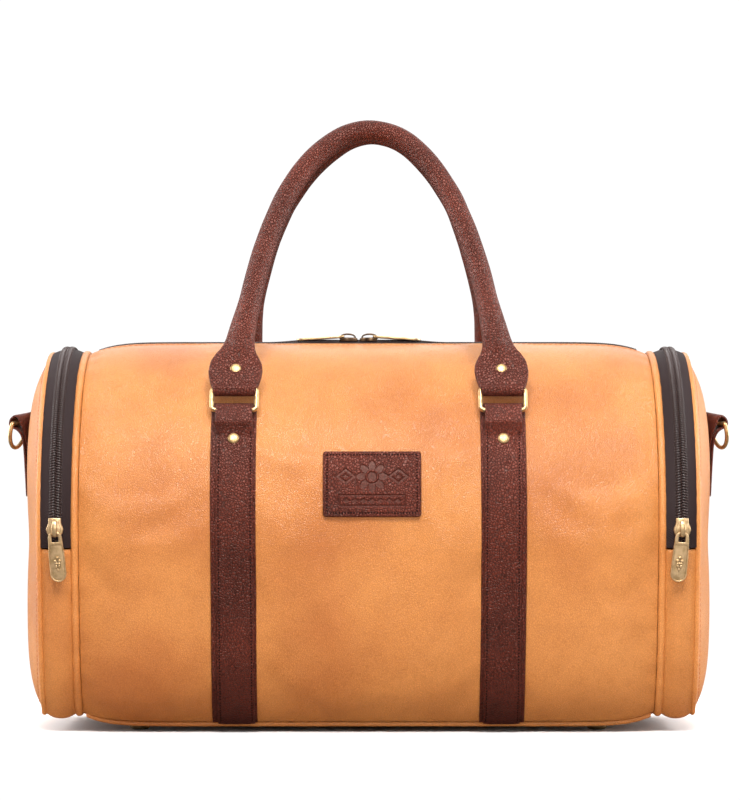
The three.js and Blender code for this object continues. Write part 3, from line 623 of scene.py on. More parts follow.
def dark_leather():
    """Pebbled leather with painted shade in the creases between pebbles; the mesh attribute
    "pressed" flattens and darkens it.
    """
    material, tree, shader = new_material("dark_leather")
    coords = object_coords(tree)
    stretched = mapping(tree, coords, scale=(1.0, 1.0, 0.8), rotation=(0.2, 0.3, 0.6))
    cells = cell_edges(tree, warped(tree, stretched, scale=230, amount=0.0013), scale=600)
    plates = ramp(tree, cells, (0.0, 0), (0.07, 0.38), (0.16, 0.74), (0.27, 0.94), (0.4, 1))
    pressed = node(tree, "Attribute", attribute_name="pressed").outputs["Fac"]
    kept = calculate(tree, "SUBTRACT", 1.0, calculate(tree, "MULTIPLY", pressed, 0.85))
    grit = calculate(tree, "MULTIPLY", noise(tree, coords, scale=900, detail=2), 0.05)
    height = calculate(tree, "MULTIPLY", calculate(tree, "ADD", plates, grit), kept)
    broad = noise(tree, coords, scale=20)
    colour = ramp(tree, broad, (0.3, linear(75, 27, 19)), (0.7, linear(101, 41, 29)))
    # painted shade: the colour darkens deeply in the creases between pebbles and lifts a little on
    # their tops
    crease_shade = ramp(
        tree, cells,
        (0.0, (0.22, 0.17, 0.15)), (0.05, (0.45, 0.40, 0.38)),
        (0.13, (0.92, 0.90, 0.89)), (0.28, (1.16, 1.15, 1.14)),
    )
    colour = mix(tree, 0.95, colour, crease_shade, "MULTIPLY")
    darkening = calculate(tree, "MULTIPLY", pressed, 0.5)
    soft = bump(tree, noise(tree, coords, scale=120), strength=0.25, depth=0.0012)
    set_inputs(tree, shader, {
        "Base Color": mix(tree, darkening, colour, linear(52, 18, 12)),
        "Normal": bump(tree, height, strength=1.0, depth=0.00040, normal=soft),
        "Roughness": 0.45,
        "Specular IOR Level": 0.50,
        "Specular Tint": (1.0, 0.66, 0.56),
    })
    return material


def plain(name, colour, roughness, bump_scale, bump_strength, bump_depth, specular=None):
    """One colour with a fine noise bump."""
    material, tree, shader = new_material(name)
    grain = noise(tree, object_coords(tree), scale=bump_scale)
    set_inputs(tree, shader, {
        "Base Color": linear(*colour),
        "Roughness": roughness,
        "Normal": bump(tree, grain, bump_strength, bump_depth),
    })
    if specular is not None:
        set_inputs(tree, shader, {"Specular IOR Level": specular})
    return material


def woven_cloth(name, base):
    """Diagonal weave."""
    material, tree, shader = new_material(name)
    coords = object_coords(tree)
    weave = node(tree, "TexWave", {
        "Scale": 420, "Distortion": 1.2, "Detail": 1, "Detail Scale": 2, "Vector": coords,
    }, wave_type="BANDS", bands_direction="DIAGONAL").outputs["Fac"]
    fibres = noise(tree, coords, scale=1400, detail=2)
    low, high = (linear(*[c * k for c in base]) for k in (0.72, 1.1))
    colour = ramp(tree, weave, (0.2, low), (0.8, high))
    height = calculate(tree, "ADD", weave, calculate(tree, "MULTIPLY", fibres, 0.7))
    set_inputs(tree, shader, {
        "Base Color": colour,
        "Normal": bump(tree, height, strength=0.5, depth=0.0004),
        "Roughness": 0.62,
        "Specular IOR Level": 0.22,
    })
    return material


def mottled_metal_painted_shade(name, base, dark, roughness, recess_shade=(72, 48, 30), metallic=0.88):
    """Mottled metal, with painted shade where surfaces meet closely."""
    material, tree, shader = new_material(name)
    coords = object_coords(tree)
    mottle = noise(tree, coords, scale=230, roughness=0.55)
    light = (min(255, base[0] + 12), base[1] + 12, base[2] + 10)
    colour = ramp(
        tree, mottle, (0.30, linear(*dark)), (0.56, linear(*base)), (0.8, linear(*light))
    )
    # painted shade: ambient occlusion mixes the recess colour into close gaps and hollows
    openness = node(tree, "AmbientOcclusion", {"Distance": 0.0016}, samples=6).outputs["AO"]
    openness = ramp(tree, openness, (0.22, 0), (0.66, 1))
    wear = noise(tree, coords, scale=420)
    grain = noise(tree, coords, scale=900, detail=2)
    set_inputs(tree, shader, {
        "Base Color": mix(tree, openness, linear(*recess_shade), colour),
        "Roughness": ramp(tree, wear, (0.3, roughness + 0.13), (0.7, roughness - 0.05)),
        "Normal": bump(tree, grain, strength=0.08, depth=0.0003),
        "Metallic": metallic,
    })
    return material


TAN = tan_leather("tan_leather", base=(206, 134, 69), dark=(187, 112, 53))
TAN_PIPE = tan_leather("tan_piping", base=(214, 140, 74), dark=(198, 120, 58))
DARK = dark_leather()
TAPE = woven_cloth("zip_tape", base=(45, 30, 30))
COIL = plain(
    "zip_coil", (66, 52, 50), roughness=0.27,
    bump_scale=900, bump_strength=0.1, bump_depth=0.0002,
)
# The rings and rivets use darker copies of the pulls' brass: painted shade that tones down the key
# lights' glare on them.
BRASS = mottled_metal_painted_shade("antique_brass", base=(232, 198, 152), dark=(200, 164, 116), roughness=0.33)
BRASS_RIVET_PAINTED_SHADE = mottled_metal_painted_shade(
    "rivet_brass_painted_shade", base=(206, 172, 122), dark=(176, 140, 92), roughness=0.42,
    recess_shade=(104, 78, 48), metallic=0.85,
)
BRASS_RING_PAINTED_SHADE = mottled_metal_painted_shade(
    "ring_brass_painted_shade", base=(206, 172, 124), dark=(178, 142, 96), roughness=0.34
)
BRONZE = mottled_metal_painted_shade("dark_bronze", base=(112, 88, 66), dark=(70, 52, 40), roughness=0.3)
# Dark thread; its wide stitches on the straps and patch are also painted shade, standing in for
# the stitch holes.
THREAD_DARK_AND_HOLE_SHADE = plain(
    "thread_dark_and_hole_shade", (20, 8, 6), roughness=0.75,
    bump_scale=2500, bump_strength=0.4, bump_depth=0.0002, specular=0.15,
)
THREAD_TAN = plain(
    "thread_tan", (186, 104, 56), roughness=0.6,
    bump_scale=2500, bump_strength=0.4, bump_depth=0.0002,
)
LINING = woven_cloth("lining_cloth", base=(134, 112, 88))
BOARD = plain(
    "board", (52, 48, 45), roughness=0.8,
    bump_scale=300, bump_strength=0.3, bump_depth=0.0006,
)


def label(ob, *nodes):
    """Hide the CAD nodes that the object replaces."""
    if nodes:
        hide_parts(*nodes)


def add(name, geometry, material, body, *nodes, **options):
    """Make an object that rides on a body; options go to make()."""
    ob = make(name, geometry, material, **options)
    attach(ob, body)
    label(ob, *nodes)


# ------------------------------------------------------------- barrel surface
WAVES_FRONT = waves(3, 7, 0.012, 0.035)
WAVES_REAR = waves(11, 7, 0.012, 0.035)
WAVES_MEDIUM = waves(5, 9, 0.05, 0.12)


def simulate_panel():
    """The front skin as cloth, held at its seams, straps and patch and filled from inside.

    Returns its displacement along the normal with the x and arc stations of the grid."""
    nx, ns = 83, 61
    xs = np.linspace(-203.5, 203.5, nx)
    ss = np.linspace(float(arc_at(PANEL_PHI)), float(arc_at(152.0)), ns)
    X, S = np.meshgrid(xs, ss, indexing="ij")
    rest = on_body(X, phi_at(-S), crown(X))
    faces = [
        (i * ns + j, i * ns + j + 1, (i + 1) * ns + j + 1, (i + 1) * ns + j)
        for i in range(nx - 1) for j in range(ns - 1)
    ]
    mesh = bpy.data.meshes.new("sim")
    mesh.from_pydata((rest.reshape(-1, 3) * MM).tolist(), [], faces)
    ob = link("sim", mesh)

    pin = np.zeros((nx, ns))
    pin[[0, -1], :] = 1
    pin[:, [0, -1]] = 1
    pin[np.abs(np.abs(xs) - RING_X) < 14.5, :] = 1
    patch_x = np.abs(xs - PATCH_X) < 34
    patch_s = np.abs(ss - float(arc_at(PATCH_PHI))) < 22
    pin[np.ix_(patch_x, patch_s)] = 1
    group = ob.vertex_groups.new(name="pin")
    group.add([int(i) for i in np.flatnonzero(pin.reshape(-1))], 1.0, "REPLACE")

    cloth = ob.modifiers.new("cloth", "CLOTH")
    settings = cloth.settings
    settings.quality = 8
    settings.mass = 0.25
    settings.tension_stiffness = 40
    settings.compression_stiffness = 25
    settings.shear_stiffness = 8
    settings.bending_stiffness = 1.5
    settings.vertex_group_mass = "pin"
    # a negative shrink leaves slack cloth
    settings.shrink_min = -0.012
    settings.shrink_max = -0.012
    settings.use_pressure = True
    settings.uniform_pressure_force = 1.6
    settings.effector_weights.gravity = 0.35
    cloth.collision_settings.use_collision = False
    cloth.collision_settings.use_self_collision = False

    frames = 22
    scene = bpy.context.scene
    scene.frame_start, scene.frame_end = 1, frames
    cloth.point_cache.frame_start, cloth.point_cache.frame_end = 1, frames
    for f in range(1, frames + 1):
        scene.frame_set(f)
    result = ob.evaluated_get(bpy.context.evaluated_depsgraph_get())
    final = np.empty(len(mesh.vertices) * 3)
    result.data.vertices.foreach_get("co", final)
    final = final.reshape(nx, ns, 3) / MM
    _, _, ny, nz = profile(phi_at(-S))
    moved = (final[..., 1] - rest[..., 1]) * ny + (final[..., 2] - rest[..., 2]) * nz
    moved = np.where(np.isfinite(moved), moved, 0)
    bpy.data.objects.remove(ob)
    scene.frame_set(1)

    for _ in range(2):
        k = moved.copy()
        k[1:-1, 1:-1] = (
            moved[1:-1, 1:-1] * 4 + moved[:-2, 1:-1] + moved[2:, 1:-1]
            + moved[1:-1, :-2] + moved[1:-1, 2:]
        ) / 8
        moved = k
    return np.clip(moved, -1.2, 2.6), xs, ss


CLOTH = simulate_panel()


def cloth_at(x, s, rear):
    """The cloth's displacement, bilinear between its grid points; half-turned for the rear."""
    field, xs, ss = CLOTH
    if rear:
        x = -x
    i = np.clip((x - xs[0]) / (xs[1] - xs[0]), 0, len(xs) - 1.001)
    j = np.clip((s - ss[0]) / (ss[1] - ss[0]), 0, len(ss) - 1.001)
    i0 = i.astype(int)
    j0 = j.astype(int)
    fi = i - i0
    fj = j - j0
    return (
        field[i0, j0] * (1 - fi) * (1 - fj) + field[i0 + 1, j0] * fi * (1 - fj)
        + field[i0, j0 + 1] * (1 - fi) * fj + field[i0 + 1, j0 + 1] * fi * fj
    )


def skin_offset(x, phi, rear):
    """Offset of the soft outer surface: fuller between the straps, puckered at the seams."""
    x = np.asarray(x, float)
    s = arc_at(phi)
    # how free the leather is from the straps, zip, floor, end seams and patch
    free = 1 - np.exp(-(((np.abs(x) - RING_X) / 22) ** 4))
    top = smooth((np.abs(s) - 12) / 40)
    low = smooth((arc_at(150.0) - np.abs(s)) / 30)
    side = smooth((203 - np.abs(x)) / 26)
    if not rear:
        under_patch = np.exp(-(((x - PATCH_X) / 46) ** 6)) * np.exp(
            -(((s + arc_at(PATCH_PHI)) / 36) ** 6)
        )
        free = free * (1 - under_patch)
    unevenness = 0.55 * wave_noise(x, s, WAVES_REAR if rear else WAVES_FRONT)
    unevenness = unevenness + 0.12 * wave_noise(x, s, WAVES_MEDIUM)
    offset = crown(x) + free * top * low * side * (0.5 + unevenness * 0.75)
    near_seam = np.exp(-(((203.5 - np.abs(x)) / 9.0) ** 2))
    pucker = np.sin(s / 3.1 + np.sign(x) * 1.3 + 1.7 * np.sin(s / 23.0))
    offset = offset + near_seam * 0.30 * pucker * smooth((np.abs(s) - 6) / 12)
    if CLOTH is not None:
        offset = offset + cloth_at(x, np.abs(s), rear)
    return offset


def thickness_cap(stations, outer_end):
    """Triangles that close a skin's end between its outer and inner lines."""
    A = list(range(outer_end))
    B = list(range(len(stations) - 1, outer_end - 1, -1))
    i = j = 0
    tris = []
    while i < len(A) - 1 or j < len(B) - 1:
        a_left = i < len(A) - 1
        if j == len(B) - 1 or (a_left and stations[A[i + 1]] <= stations[B[j + 1]]):
            tris.append((A[i + 1], A[i], B[j]))
            i += 1
        else:
            tris.append((A[i], B[j], B[j + 1]))
            j += 1
    return tris


def panel(name, rear, node_name):
    """Front or rear skin, from the main zip down to the bottom piping, and its stitches."""
    sign = 1 if rear else -1
    s0, s1 = float(arc_at(PANEL_PHI)), float(arc_at(152.2))
    top_round, low_round = 0.9, 1.0
    start, end = s0 + top_round, s1 - low_round
    outer = np.concatenate([np.linspace(start, s0 + 8, 8), np.linspace(s0 + 8, end, 118)[1:]])
    inner = np.linspace(end, start, 40)
    bend = np.linspace(0, 180, 7)[1:-1] * DEG
    half = SKIN / 2
    loop_s = np.concatenate(
        [outer, end + low_round * np.sin(bend), inner, start - top_round * np.sin(bend)]
    )
    loop_d = np.concatenate([
        np.zeros(len(outer)), -half + half * np.cos(bend),
        np.full(len(inner), -SKIN), -half - half * np.cos(bend),
    ])
    groove = -0.35 * np.exp(-(((loop_s - s0 - ZIP_STITCH) / 0.8) ** 2)) * (loop_d > -0.5)
    xs = np.concatenate([
        np.linspace(-BARREL_HALF, -170, 34),
        np.linspace(-170, 170, 150)[1:-1],
        np.linspace(170, BARREL_HALF, 34),
    ])
    phi = phi_at(sign * loop_s)
    sections = []
    for x in xs:
        offset = skin_offset(np.full_like(loop_s, x), phi, rear) + loop_d + groove
        sections.append(on_body(x, phi, offset))
    verts, faces = loft(sections, capped=False)
    cap = thickness_cap(loop_s, len(outer) + 3)
    last = (len(xs) - 1) * len(loop_s)
    faces += cap + [tuple(last + k for k in reversed(f)) for f in cap]
    add(name, (verts, faces), TAN, "bag", node_name)

    x = np.arange(-198, 198.1, 3.9)
    phi = phi_at(sign * np.full_like(x, s0 + ZIP_STITCH))
    centres, ahead = (
        on_body(k, phi, skin_offset(k, phi, rear) - 0.25) for k in (x, x + 0.5)
    )
    along = ahead - centres
    along /= np.linalg.norm(along, axis=1)[:, None]
    threads = stitches(centres, along, body_axes(phi)[1], tilt=0.08, **SEAM_STITCH)
    add(name + "_stitches", threads, THREAD_TAN, "bag", sharp=0)


panel("front_skin", False, "front_panel")
panel("rear_skin", True, "rear_panel")


def bottom_skin():
    half = 180 - 159.3
    phi = np.linspace(-half, half, 50)
    section = band(phi, np.zeros(50), np.full(50, -SKIN))
    return loft([
        on_body(x, 180 + section[:, 0], crown(x) + section[:, 1])
        for x in np.linspace(-BARREL_HALF, BARREL_HALF, 90)
    ])


add("bottom_skin", bottom_skin(), TAN, "bag", "bottom_panel")


def bottom_cord(side):
    a = circle(14)
    sections = []
    for x in np.linspace(-202, 202, 300):
        _, y, z = on_body(x, side * 155.2, crown(x) + 0.1)
        r = 1.95 + 0.06 * math.sin(x / 1.9) * math.sin(x / 7.0)
        sections.append(np.stack([np.full(len(a), x), y + r * np.cos(a), z + r * np.sin(a)], 1))
    return loft(sections)


FACES = (("front", -1), ("rear", 1))
for face, side in FACES:
    cord = bottom_cord(side)
    add("bottom_cord_" + face, cord, TAN_PIPE, "bag", "bottom_piping_" + face)


# ------------------------------------------------------------------- main zip
def zip_rise(x):
    """The closed zip bulges up along its middle."""
    return 1.7 * smooth((x + 74) / 30) * smooth((58 - x) / 30)


def main_tape(side):
    across = np.linspace(0.25, MAIN_TAPE, 16)
    arch = np.cos(np.clip(across / MAIN_TAPE, 0, 1) * np.pi / 2)
    sections = []
    for x in np.linspace(-203.4, 203.4, 260):
        top = -0.35 + zip_rise(x) * arch
        s, d = band(across, top, top - TAPE_THICK).T
        offset = crown(x) + d - 0.5 * smooth((s - 9.6) / 1.2)
        sections.append(on_body(x, phi_at(side * s), offset))
    return loft(sections)


def coil_row(centres, along, across, up, length, radius, bend, slant):
    """Coil teeth: short bars across the zip, slanted and rising in the middle."""
    a = circle(6)
    sections = []
    for t in np.linspace(-1, 1, 5):
        r = radius * (0.55 if abs(t) == 1 else 1.0)
        rise = bend * (1 - t * t)
        sections.append(np.stack(
            [r * np.cos(a), np.full(len(a), t * length / 2), rise + r * np.sin(a)], 1
        ))
    slanted_along = along + across * slant
    slanted_across = across - along * slant
    slanted_along /= np.linalg.norm(slanted_along, axis=1)[:, None]
    slanted_across /= np.linalg.norm(slanted_across, axis=1)[:, None]
    return scatter(loft(sections), centres, slanted_along, slanted_across, up)


def main_coil(side):
    pitch = 1.5
    xs = np.arange(-198, 198, pitch) + (pitch / 2 if side > 0 else 0)
    phi = phi_at(np.full_like(xs, side * 1.9))
    centres = on_body(xs, phi, crown(xs) + zip_rise(xs) - 0.1)
    axes = (np.tile(k, (len(xs), 1)) for k in ([1.0, 0, 0], [0, 1.0 * side, 0], [0, 0, 1.0]))
    return coil_row(centres, *axes, length=3.8, radius=0.56, bend=0.55, slant=0.22 * side)


for face, side in FACES:
    add(f"main_tape_{face}_skin", main_tape(side), TAPE, "bag", "main_zip_tape_" + face)
for face, side in FACES:
    add("main_coil_" + face, main_coil(side), COIL, "bag", sharp=0)

# ---------------------------------------------------------------- end pockets
# Shapes are built for the right end (+X) and mirrored for the left.
BAND_LAP_IN, BAND_LAP_OUT = 1.9, 1.7  # how far the band runs under the pipings


def ring_cord(x, radius, sides, ripple, seed):
    """Piping round the whole cross-section."""
    a = circle(sides)
    table = waves(seed, 6, 0.25, 0.8)
    sections = []
    for s in np.linspace(-ARC_END, ARC_END, 640, endpoint=False):
        r = radius + ripple * sum(math.sin(s * k[0] + k[2]) for k in table) / 2.4
        phi = np.full(sides, phi_at(s))
        sections.append(on_body(x + r * np.cos(a), phi, SEAM_OFFSET + r * np.sin(a)))
    return loft(sections, closed=True)


def gusset_skin():
    """Band under the pocket, between the ends of its zip."""
    xs = np.linspace(BAND_IN - BAND_LAP_IN, BAND_OUT + BAND_LAP_OUT, 26)
    t = (xs - ZIP_X) / ((BAND_OUT - BAND_IN) / 2)
    top = -4.2 - 3.0 * np.abs(t) ** 2.2
    start = arc_at(100.3)
    stations = np.linspace(start, 2 * ARC_END - start, 260)
    sections = []
    for s in stations:
        from_end = min(s - stations[0], stations[-1] - s)
        rounding = -0.9 * math.exp(-((from_end / 0.9) ** 2))
        pucker = 0.10 * np.sin(s / 2.7 + 1.5 * math.sin(s / 19)) * np.abs(t) ** 4
        section = band(xs, top + rounding + pucker, top - 1.8)
        phi = np.full(len(section), phi_around(s))
        sections.append(on_body(section[:, 0], phi, section[:, 1]))
    return loft(sections)


def pocket_tape(x_piping, x_coil):
    xs = np.linspace(x_piping, x_coil, 14)
    t = np.linspace(0, 1, 14)
    top = -7.2 + 2.9 * np.sin(t * np.pi / 2) ** 1.2
    sections = []
    for s in np.linspace(-arc_at(ZIP_END), arc_at(ZIP_END), 300):
        wave = 0.08 * math.sin(s / 5.3) + 0.06 * math.sin(s / 2.1 + 1)
        wavy = top + wave * t
        section = band(xs, wavy, wavy - TAPE_THICK)
        phi = np.full(len(section), phi_at(s))
        sections.append(on_body(section[:, 0], phi, section[:, 1]))
    return loft(sections)


def zip_stations(pitch):
    return np.arange(-arc_at(ZIP_END) + 2, arc_at(ZIP_END) - 1, pitch)


def pocket_coil(side, phase):
    """Teeth on the outer (side 1) or inner (side -1) half of the pocket zip."""
    s = zip_stations(1.95) + phase
    phi = phi_at(s)
    along, up = body_axes(phi)
    across = np.tile([side, 0, 0], (len(s), 1))
    centres = on_body(np.full_like(s, ZIP_X + side * 1.95), phi, -3.62)
    return coil_row(centres, along, across, up, length=4.5, radius=0.60, bend=0.6, slant=0.26)


def tape_threads(side):
    s = zip_stations(2.6)
    phi = phi_at(s)
    centres = on_body(np.full_like(s, ZIP_X + side * 4.4), phi, -4.15)
    return stitches(centres, *body_axes(phi), length=2.0, radius=0.22, tilt=0.12, sink=0.02)


DOME_WAVES = waves(41, 7, 0.02, 0.05)


def dome_points(phi, share):
    """Outer face of the domed end; share runs from 0 at the middle to 1 at the rim."""
    rim = on_body(np.zeros(len(phi)), phi, np.full(len(phi), DOME_OFFSET))[:, 1:]
    sideways = rim[:, 0] ** 2 / (rim[:, 0] ** 2 + (rim[:, 1] - DOME_Z) ** 2)
    power = DOME_POWER * (1 - sideways) + DOME_SIDE_POWER * sideways
    y = rim[:, 0] * share
    z = DOME_Z + (rim[:, 1] - DOME_Z) * share
    lumps = 0.5 * wave_noise(y, z, DOME_WAVES) * smooth((1 - share) / 0.25)
    return np.stack([DOME_X + DOME_H * (1 - share**power) + lumps, y, z], 1)


def dome_skin():
    phi = phi_at(np.linspace(-ARC_END, ARC_END, 220, endpoint=False))
    shares = np.concatenate([np.linspace(0, 0.9, 24)[1:], np.linspace(0.9, 1.0, 12)[1:]])
    inwards = np.array([-2.2, 0, 0])
    smooth_rings = [dome_points(phi, share) for share in shares]
    outer = [
        ring - [0.30 * math.exp(-(((share - DOME_STITCH) / 0.008) ** 2)), 0, 0]
        for ring, share in zip(smooth_rings, shares)
    ]
    inner = [ring + inwards for ring in smooth_rings]
    hub = dome_points(np.zeros(1), 0.0)[0]
    return loft(outer + inner[::-1], hubs=(hub, hub + inwards))


def dome_stitches():
    phi = phi_at(np.arange(-ARC_END + 4, ARC_END - 2, 4.1))
    centres = dome_points(phi, DOME_STITCH) - [0.25, 0, 0]
    along = np.roll(centres, -1, 0) - centres
    along[-1] = along[-2]
    along /= np.linalg.norm(along, axis=1)[:, None]
    return stitches(centres, along, np.tile([1.0, 0, 0], (len(phi), 1)), **SEAM_STITCH)


# The tab's two long edges, up its face, round the D-ring's bar and down behind: x, z
TAB_PATH_FRONT = [
    (251.2, 168), (251.8, 180), (252.7, 195), (253.6, 206), (255.2, 212.6), (257.9, 216.4),
    (260.9, 218.2), (263.2, 219.0), (264.3, 221.4), (263.5, 224.6), (260.7, 226.9),
    (258.1, 225.9), (255.7, 221.2), (253.3, 214.4), (251.5, 206), (250.3, 195), (249.7, 182),
    (249.5, 169),
]
TAB_PATH_REAR = [
    (251.2, 168), (251.8, 180), (251.6, 195), (251.3, 206), (251.5, 213), (252.6, 217.0),
    (254.6, 218.4), (256.8, 219.2), (257.8, 221.4), (257.0, 225.0), (254.2, 227.8),
    (250.9, 229.4), (248.6, 229.2), (248.2, 221.5), (248.8, 209.5), (249.3, 196), (249.5, 182),
    (249.5, 169),
]


def strap_tab():
    """The tab, twisted to meet the turned D-ring, and its stitches."""
    stations = 150
    half = 9.5
    front, rear = (
        resample(catmull(path, 8), count=stations)[0] for path in (TAB_PATH_FRONT, TAB_PATH_REAR)
    )
    shortening = half * (1 - math.cos(D_TURN))
    reach = half * math.sin(D_TURN)
    front_twist = shortening + (front[:, 0] - D_BAR[0] - reach) * TWIST
    rear_twist = shortening - (rear[:, 0] - D_BAR[0] + reach) * TWIST
    front_y = -half + smooth((front[:, 0] - 253) / 5) * front_twist
    rear_y = half - smooth((rear[:, 0] - 250) / 3.5) * rear_twist
    front = np.stack([front[:, 0], front_y, front[:, 1]], 1)
    rear = np.stack([rear[:, 0], rear_y, rear[:, 1]], 1)
    front_along, rear_along = tangents(front), tangents(rear)
    across = (rear - front) / np.linalg.norm(rear - front, axis=1)[:, None]

    def tab_frame(i, share):
        """Point, tangent and normal at a share of the way from front to rear edge."""
        along = front_along[i] * (1 - share) + rear_along[i] * share
        normal = np.cross(across[i], along)
        normal /= np.linalg.norm(normal)
        return front[i] * (1 - share) + rear[i] * share, along, normal

    section = rounded_rect(-1, 1, -0.82, 0.82, 0.07, 14, 1)
    sections = []
    for i in range(stations):
        row = []
        for w, d in section:
            point, _, normal = tab_frame(i, (w + 1) / 2)
            thinning = 1 - max(0, (abs(w) - 0.9) / 0.1) ** 2 * 0.45
            row.append(point - normal * d * thinning)
        sections.append(row)

    # station, share across, whether the thread lies across the tab
    spots = [(k, w, False) for w in (0.11, 0.89) for k in range(4, 48, 2)]
    spots += [(k, w, True) for k in (3, 42) for w in np.arange(0.18, 0.84, 0.115)]
    centres, directions, normals = [], [], []
    for k, w, crosswise in spots:
        point, along, normal = tab_frame(k, w)
        if normal[0] < 0:
            normal = -normal
        centres.append(point + normal * 0.72)
        directions.append(across[k] if crosswise else along)
        normals.append(normal)
    return loft(sections), stitches(centres, directions, normals, length=1.7, radius=0.27)


def d_ring():
    """Straight bar at v = 0, bow hanging below."""
    outline = arc(10.1, -1.4, 1.4, 90, 10, 6) + [(11.75, -3.0)]
    outline += arc(0, -5.8, 12.1, 4, -184, 44) + [(-11.75, -3.0)]
    outline += arc(-10.1, -1.4, 1.4, 170, 90, 6)
    sin_turn, cos_turn = math.sin(D_TURN), math.cos(D_TURN)
    sin_hang, cos_hang = math.sin(D_HANG), math.cos(D_HANG)
    return place(
        wire(outline, 1.5, 100),
        [D_BAR[0], 0, D_BAR[1]],
        [-sin_turn, cos_turn, 0],
        [-sin_hang * cos_turn, -sin_hang * sin_turn, cos_hang],
        [cos_hang * cos_turn, cos_hang * sin_turn, sin_hang],
    )


TAB, TAB_STITCHES = strap_tab()
# name, geometry, material, sharp angle, body, replaced nodes.
# "hinge" marks parts that are left unattached, with their transforms baked in.
POCKET_PARTS = (
    ("seam_cord", ring_cord(SEAM_X, SEAM_R, 18, ripple=0.10, seed=51), TAN_PIPE, 0,
     "bag", ["seam_piping"]),
    ("gusset_skin", gusset_skin(), TAN, 38, "bag", ["pocket_gusset"]),
    ("tape_inner_skin", pocket_tape(BAND_IN - BAND_LAP_IN, ZIP_X - 0.5), TAPE, 38,
     "bag", ["pocket_zip_inner"]),
    ("coil_inner", pocket_coil(-1, phase=0.0), COIL, 0, "bag", []),
    ("tape_thread_inner", tape_threads(-1), COIL, 0, "bag", []),
    ("tape_outer_skin", pocket_tape(BAND_OUT + BAND_LAP_OUT, ZIP_X + 0.5), TAPE, 38,
     "hinge", ["pocket_zip_outer"]),
    ("coil_outer", pocket_coil(1, phase=0.72), COIL, 0, "hinge", []),
    ("tape_thread_outer", tape_threads(1), COIL, 0, "hinge", []),
    ("edge_cord", ring_cord(EDGE_X, EDGE_R, 14, ripple=0.07, seed=52), TAN_PIPE, 0,
     "hinge", ["edge_piping_lower", "edge_piping_flap"]),
    ("end_skin", dome_skin(), TAN, 38, "hinge", ["end_panel_lower", "end_flap"]),
    ("end_stitches", dome_stitches(), THREAD_TAN, 0, "hinge", []),
    ("tab_skin", TAB, DARK, 38, "flap", ["strap_tab"]),
    ("tab_stitches", TAB_STITCHES, THREAD_DARK_AND_HOLE_SHADE, 0, "flap", []),
    ("d_ring_wire", d_ring(), BRASS_RING_PAINTED_SHADE, 0, "d_ring_body", ["d_ring"]),
)
for side, move in SIDES:
    for name, geometry, material, sharp, body, nodes in POCKET_PARTS:
        ob = make(f"{side}_{name}", geometry, material, sharp=sharp, move=move)
        if body == "hinge":
            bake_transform(ob)
        else:
            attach(ob, body if body == "bag" else f"{side}_{body}")
        label(ob, *(f"{side}_{k}" for k in nodes))


# ----------------------------------------------------------- sliders and pulls
# Local axes: x across the zip, y along it, z up from it.
def curve_plate(loops, thick, bevel):
    """A bevelled flat plate with the given outlines; inner loops are holes."""
    curve = bpy.data.curves.new("plate", "CURVE")
    curve.dimensions = "2D"
    curve.fill_mode = "BOTH"
    curve.extrude = (thick / 2 - bevel) * MM
    curve.bevel_depth = bevel * MM
    curve.bevel_resolution = 2
    curve.offset = -bevel * MM
    for loop in loops:
        spline = curve.splines.new("POLY")
        spline.points.add(len(loop) - 1)
        for point, (x, y) in zip(spline.points, loop):
            point.co = (x * MM, y * MM, 0, 1)
        spline.use_cyclic_u = True
    ob = link("plate", curve)
    depsgraph = bpy.context.evaluated_depsgraph_get()
    mesh = bpy.data.meshes.new_from_object(ob.evaluated_get(depsgraph))
    bpy.data.objects.remove(ob)
    raw = np.empty(len(mesh.vertices) * 3)
    mesh.vertices.foreach_get("co", raw)

    # weld points that coincide, dropping collapsed faces
    rounded = np.round(raw.reshape(-1, 3) / MM, 4)
    verts, index = np.unique(rounded, axis=0, return_inverse=True)
    index = index.reshape(-1)
    faces = []
    for polygon in mesh.polygons:
        face = []
        for i in polygon.vertices:
            if not face or face[-1] != index[i]:
                face.append(int(index[i]))
        if len(face) > 1 and face[0] == face[-1]:
            face.pop()
        if len(face) in (3, 4):
            faces.append(tuple(face))
        elif len(face) > 4:
            faces += [(face[0], face[a], face[a + 1]) for a in range(1, len(face) - 1)]

    # turn every face the same way round
    bm = bmesh.new()
    bm_verts = [bm.verts.new(p) for p in verts]
    bm.verts.index_update()
    for face in faces:
        bm.faces.new([bm_verts[i] for i in face])
    bmesh.ops.recalc_face_normals(bm, faces=bm.faces[:])
    faces = [tuple(v.index for v in face.verts) for face in bm.faces]
    bm.free()
    return verts, faces


def mirrored_loop(half):
    """Close a right half whose first and last points lie on the middle line."""
    return half + [(-x, y) for x, y in half[-2:0:-1]]


SLIDER_H = 2.4
PULL_Y, PULL_Z = -3.9, 3.6  # where the pull hangs on the slider
# Right half of the slider's outline: x, y
SLIDER_HALF = [
    (3.6, -6.5), (4.7, -5.4), (5.4, -3.8), (5.95, -1.6), (5.9, -0.6), (5.0, 1.2), (4.5, 2.6),
    (4.35, 4.0), (4.4, 6.1), (4.1, 6.5),
]


